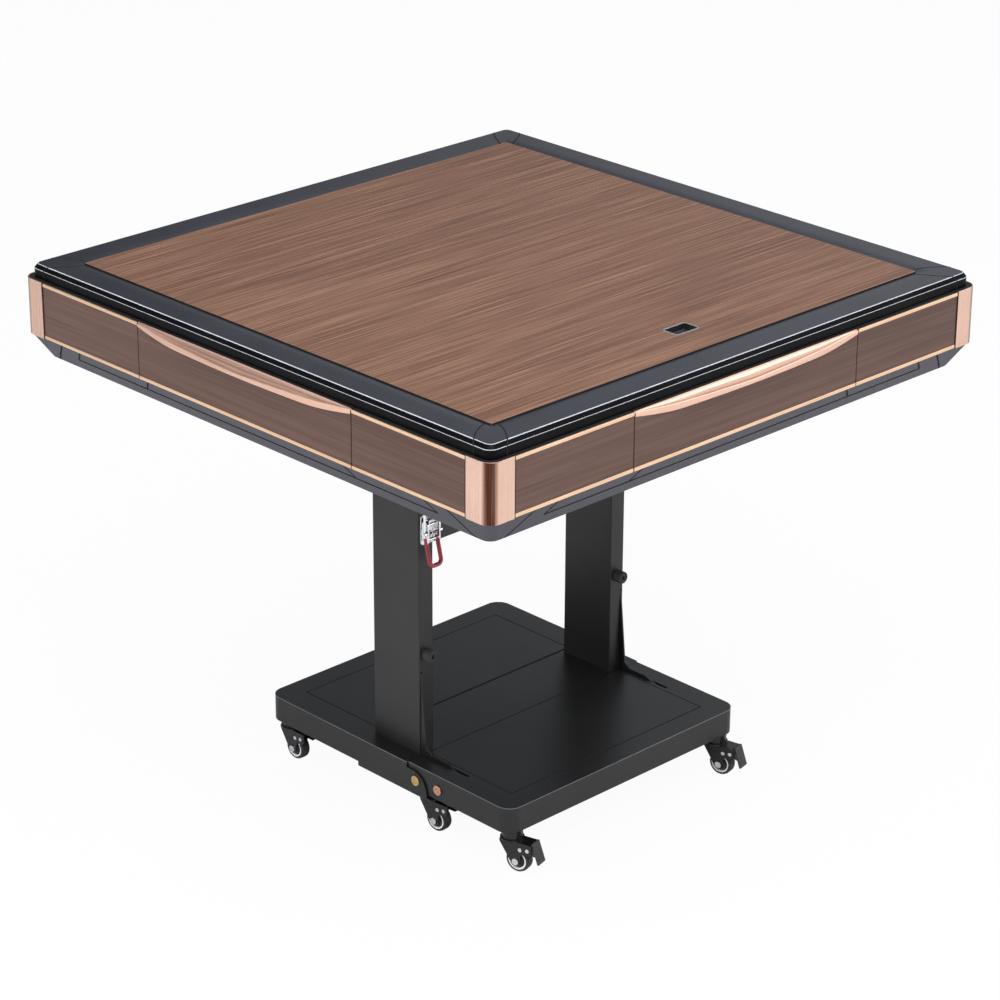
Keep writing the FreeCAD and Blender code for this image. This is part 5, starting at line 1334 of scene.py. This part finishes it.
@dataclass
class Casters:
    """Six casters: cups, forks, wheels and brake pedals."""

    tyre: float = 18.0 * MM
    half: float = 8.0 * MM
    rim: float = 14.3 * MM
    hub: float = 6.0 * MM
    bore: float = 3.1 * MM
    plate_outer: float = 11.5 * MM
    fork_top: float = 46.0 * MM
    ribs: int = 6
    pedal_top: tuple[float, float] = (34.8 * MM, 50.0 * MM)
    pedal_low: tuple[float, float] = (45.3 * MM, 19.5 * MM)
    tread_middle: tuple[float, float] = (-43.08 * MM, 35.79 * MM)
    tread_half: float = 7.4 * MM
    tread_rows: int = 3
    tread_pitch: float = 3.6 * MM

    def build(self) -> None:
        """Dresses the cups and each caster."""
        for node in ("caster_cups_rear", "caster_cups_front"):
            softened(node, 0.5 * MM, Look.CASTER_BLACK, "caster_black")
        joints = {joint["name"]: joint for joint in FRAME["joints"]}
        for name, joint in joints.items():
            if name.startswith("roll_"):
                place = name.removeprefix("roll_")
                self.fork(place, joints["swivel_" + place], joint)
                self.wheel(place, along(joint["pos_m"], joint["axis"]))
        for hand in Hand:
            self.pedal(hand.label, joints["swivel_front_" + hand.label], joints["brake_" + hand.label])

    def fork(self, place: str, swivel: dict, roll: dict) -> None:
        """Fork with bright axle heads and rivets."""
        stem, across = Vector(swivel["pos_m"]), Vector(roll["axis"])
        limit = self.plate_outer + 0.1 * MM

        def bright(spot: Vector) -> bool:
            """Whether a place is on an axle head or a rivet."""
            return abs((spot - stem).dot(across)) > limit and spot.z < self.fork_top

        softened("caster_fork_" + place, 0.4 * MM, Look.CASTER_BLACK, "caster_black", [(Look.CHROME, bright)])

    def wheel(self, place: str, frame: Matrix) -> None:
        """Wheel: grooved tyre, pale rings, ribbed web and hub collars."""
        half, rim, tyre, hub, bore = self.half, self.rim, self.tyre, self.hub, self.bore
        outer = [(rim - 0.6 * MM, half - 1.6 * MM), (rim, half - 0.5 * MM), (rim + 1.2 * MM, half)]
        outer += [(tyre - 1.9 * MM, half - 0.4 * MM), (tyre - 0.6 * MM, half - 1.6 * MM)]
        outer += [(tyre, half - 3.6 * MM), (tyre, 1.0 * MM), (tyre - 0.5 * MM, 0.6 * MM)]
        web = [(bore, half - 2.6 * MM), (rim - 3.4 * MM, half - 2.6 * MM)]
        ring = [(rim - 2.8 * MM, half - 2.8 * MM), (rim - 2.4 * MM, half - 0.9 * MM)]
        ring += [(rim - 0.4 * MM, half - 0.6 * MM), (rim + 0.2 * MM, half - 1.2 * MM), (rim, half - 3.0 * MM)]
        collar = [(bore, half - 3 * MM), (bore, half + 0.6 * MM), (hub - 0.8 * MM, half + 0.6 * MM)]
        collar += [(hub, half - 0.2 * MM), (hub, half - 3 * MM)]
        parts = []
        for profile, steps, number in ((outer, 64, 0), (web, 48, 1)):
            whole = [*profile, *((r, -z) for r, z in reversed(profile))]
            parts.append(marked(lathe(whole, frame, steps), number))
        for way in (-1, 1):
            for profile, steps, number in ((ring, 56, 2), (collar, 40, 1)):
                parts.append(marked(lathe([(r, way * z) for r, z in profile], frame, steps), number))
            parts += self.spokes(frame, way)
        others = [Look.PEDAL_PLASTIC, Look.PALE_RING]
        name = "wheel_look_" + place
        piece = finished(name, joined(parts), Look.TYRE_RUBBER, "wheel_" + place, "caster_tyre", others)
        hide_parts("caster_wheel_" + place)

    def spokes(self, frame: Matrix, way: int) -> Iterable[Work]:
        """Low ribs between hub and ring on one face of a wheel."""
        low, high = sorted((way * (self.half - 3.0 * MM), way * (self.half - 1.6 * MM)))
        for index in range(self.ribs):
            turn = frame @ Matrix.Rotation(index * 2 * math.pi / self.ribs, 4, "Z")
            ends = (self.hub - 0.5 * MM, -0.7 * MM, low), (self.rim - 3.0 * MM, 0.7 * MM, high)
            yield marked(block(*ends, 0.25 * MM, turn), 1)

    def pedal(self, hand: str, swivel: dict, brake: dict) -> None:
        """Brake pedal with raised ribs on its tread."""
        softened("brake_pedal_" + hand, 0.6 * MM, Look.PEDAL_PLASTIC, "pedal_plastic")
        stem = Vector(swivel["pos_m"])
        turn = math.atan2(brake["axis"][1], brake["axis"][0])
        frame = Matrix.Translation((stem.x, stem.y, 0)) @ Matrix.Rotation(turn, 4, "Z")
        lean = math.atan2(self.pedal_low[0] - self.pedal_top[0], self.pedal_top[1] - self.pedal_low[1])
        tread = frame @ Matrix.Translation((0, *self.tread_middle)) @ Matrix.Rotation(-lean, 4, "X")
        parts = []
        for row in range(-self.tread_rows, self.tread_rows + 1):
            z = row * self.tread_pitch
            low = (-self.tread_half, -0.5 * MM, z - 0.7 * MM)
            parts.append(block(low, (self.tread_half, 0.8 * MM, z + 0.7 * MM), 0.35 * MM, tread))
        finished("pedal_ribs_" + hand, joined(parts), Look.PEDAL_PLASTIC, "pedal_" + hand, "pedal_plastic")


@dataclass
class Studio:
    """Pale floor, soft lamps and the camera."""

    floor_half: float = 6.0
    target: Point = (0.00289, 0.0, 0.41297)
    azimuth: float = -44.10
    elevation: float = 23.46
    roll: float = 0.27
    distance: float = 4.77685
    lens: float = 121.36
    air: float = 0.55
    dim: float = 0.12
    bright: float = 0.6
    overhead: float = 0.8
    lamp_aim: Point = (0.0, 0.0, 0.55)
    lamps: tuple[tuple[str, Point, float, float], ...] = (
        ("key", (-1.6, -2.4, 3.4), 2.6, 70.0),
        ("left", (-3.6, 0.9, 1.6), 2.4, 46.0),
        ("right", (2.6, -3.2, 1.5), 2.4, 40.0),
        ("top", (-0.7, -1.0, 3.6), 2.8, 40.0),
    )

    def build(self) -> None:
        """Sets up the whole studio."""
        self.world()
        self.floor()
        for lamp in self.lamps:
            self.lamp(*lamp)
        self.camera()
        bpy.context.scene.view_settings.view_transform = "Standard"

    def world(self) -> None:
        """Even light from all around, white to the eye and in reflections."""
        world = bpy.data.worlds.new("studio_air")
        bpy.context.scene.world = world
        tree = Tree(world)
        path = tree.node("LightPath")
        last = tree.node("Background", Color=(0.92, 0.94, 1.0, 1.0), Strength=self.air).outputs[0]
        plain = tree.node("Background", Color=(1.0, 1.0, 1.0, 1.0), Strength=1.0)
        mirrored = tree.node("Background", Color=(0.9, 0.94, 1.0, 1.0))
        tree.link(self.sky_glow(tree), mirrored.inputs["Strength"])
        for ray, lit in (("Is Glossy Ray", mirrored), ("Is Camera Ray", plain)):
            last = tree.blended(path.outputs[ray], last, lit.outputs[0])
        tree.link(last, tree.node("OutputWorld").inputs["Surface"])

    def sky_glow(self, tree: Tree) -> Socket:
        """Brightness of the air in reflections: dim on the left, brighter to the right and overhead."""
        side = math.radians(self.azimuth)
        place = tree.node("TexCoord").outputs["Generated"]
        right = (math.cos(side), math.sin(side), 0.0)
        parts = tree.node("SeparateXYZ")
        tree.link(place, parts.inputs[0])
        across = tree.computed("DOT_PRODUCT", place, right, kind="VectorMath")
        sideways = tree.spread(across, self.dim, self.bright, -0.12, 0.1)
        return tree.computed("ADD", sideways, tree.spread(parts.outputs["Z"], 0.0, self.overhead, 0.55, 0.8))

    def floor(self) -> None:
        """Wide floor that is white where no shadow falls."""
        work = bmesh.new()
        bmesh.ops.create_grid(work, x_segments=8, y_segments=8, size=self.floor_half)
        mesh = bpy.data.meshes.new("studio_floor")
        work.to_mesh(mesh)
        work.free()
        graph = Graph("pale_floor_paint")
        graph.colour(graph.ramp(graph.noise(graph.place, 3.0, 2.0), (0.3, grey(0.86)), (0.7, grey(0.9))))
        graph.set(Roughness=0.75, Specular_IOR_Level=0.2)
        glow = graph.node("Emission", Strength=1.0).outputs["Emission"]
        share = graph.spread(graph.node("LightPath").outputs["Is Camera Ray"], 0.0, 0.95, 0.0, 1.0)
        seen = graph.blended(share, graph.shader.outputs["BSDF"], glow)
        graph.link(seen, graph.output.inputs["Surface"])
        mesh.materials.append(graph.material)
        floor = bpy.data.objects.new("studio_floor", mesh)
        bpy.context.scene.collection.objects.link(floor)

    def lamp(self, name: str, place: Point, size: float, power: float) -> None:
        """Large square lamp aimed at the table."""
        light = bpy.data.lights.new("lamp_" + name, "AREA")
        light.energy = power
        light.size = size
        made = bpy.data.objects.new("lamp_" + name, light)
        made.location = place
        aim = Vector(self.lamp_aim) - Vector(place)
        made.rotation_euler = aim.to_track_quat("-Z", "Y").to_euler()
        bpy.context.scene.collection.objects.link(made)

    def camera(self) -> None:
        """Camera at the photograph's angle."""
        sensor = bpy.data.cameras.new("table_camera")
        sensor.lens = self.lens
        sensor.sensor_width = 36.0
        sensor.clip_end = 60.0
        up = math.radians(self.elevation)
        side = math.radians(self.azimuth)
        back = Vector((math.sin(side) * math.cos(up), -math.cos(side) * math.cos(up), math.sin(up)))
        turn = back.to_track_quat("Z", "Y").to_matrix().to_4x4()
        made = bpy.data.objects.new("table_camera", sensor)
        place = Matrix.Translation(Vector(self.target) + back * self.distance)
        made.matrix_world = place @ turn @ Matrix.Rotation(math.radians(self.roll), 4, "Z")
        bpy.context.scene.collection.objects.link(made)
        bpy.context.scene.camera = made


def main() -> None:
    """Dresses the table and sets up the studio."""
    logging.basicConfig(level=logging.INFO, format="%(name)s: %(message)s")
    FRAME.update(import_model())
    parts = [CoverBoard(), HeadSides(), PlayTop(), Machine(), SwingFrame(), Columns(), Base(), Casters()]
    for part in (*parts, *(Drawer(side) for side in Side), Studio()):
        part.build()
        LOG.info("%s done", type(part).__name__)


if __name__ == "__main__":
    main()
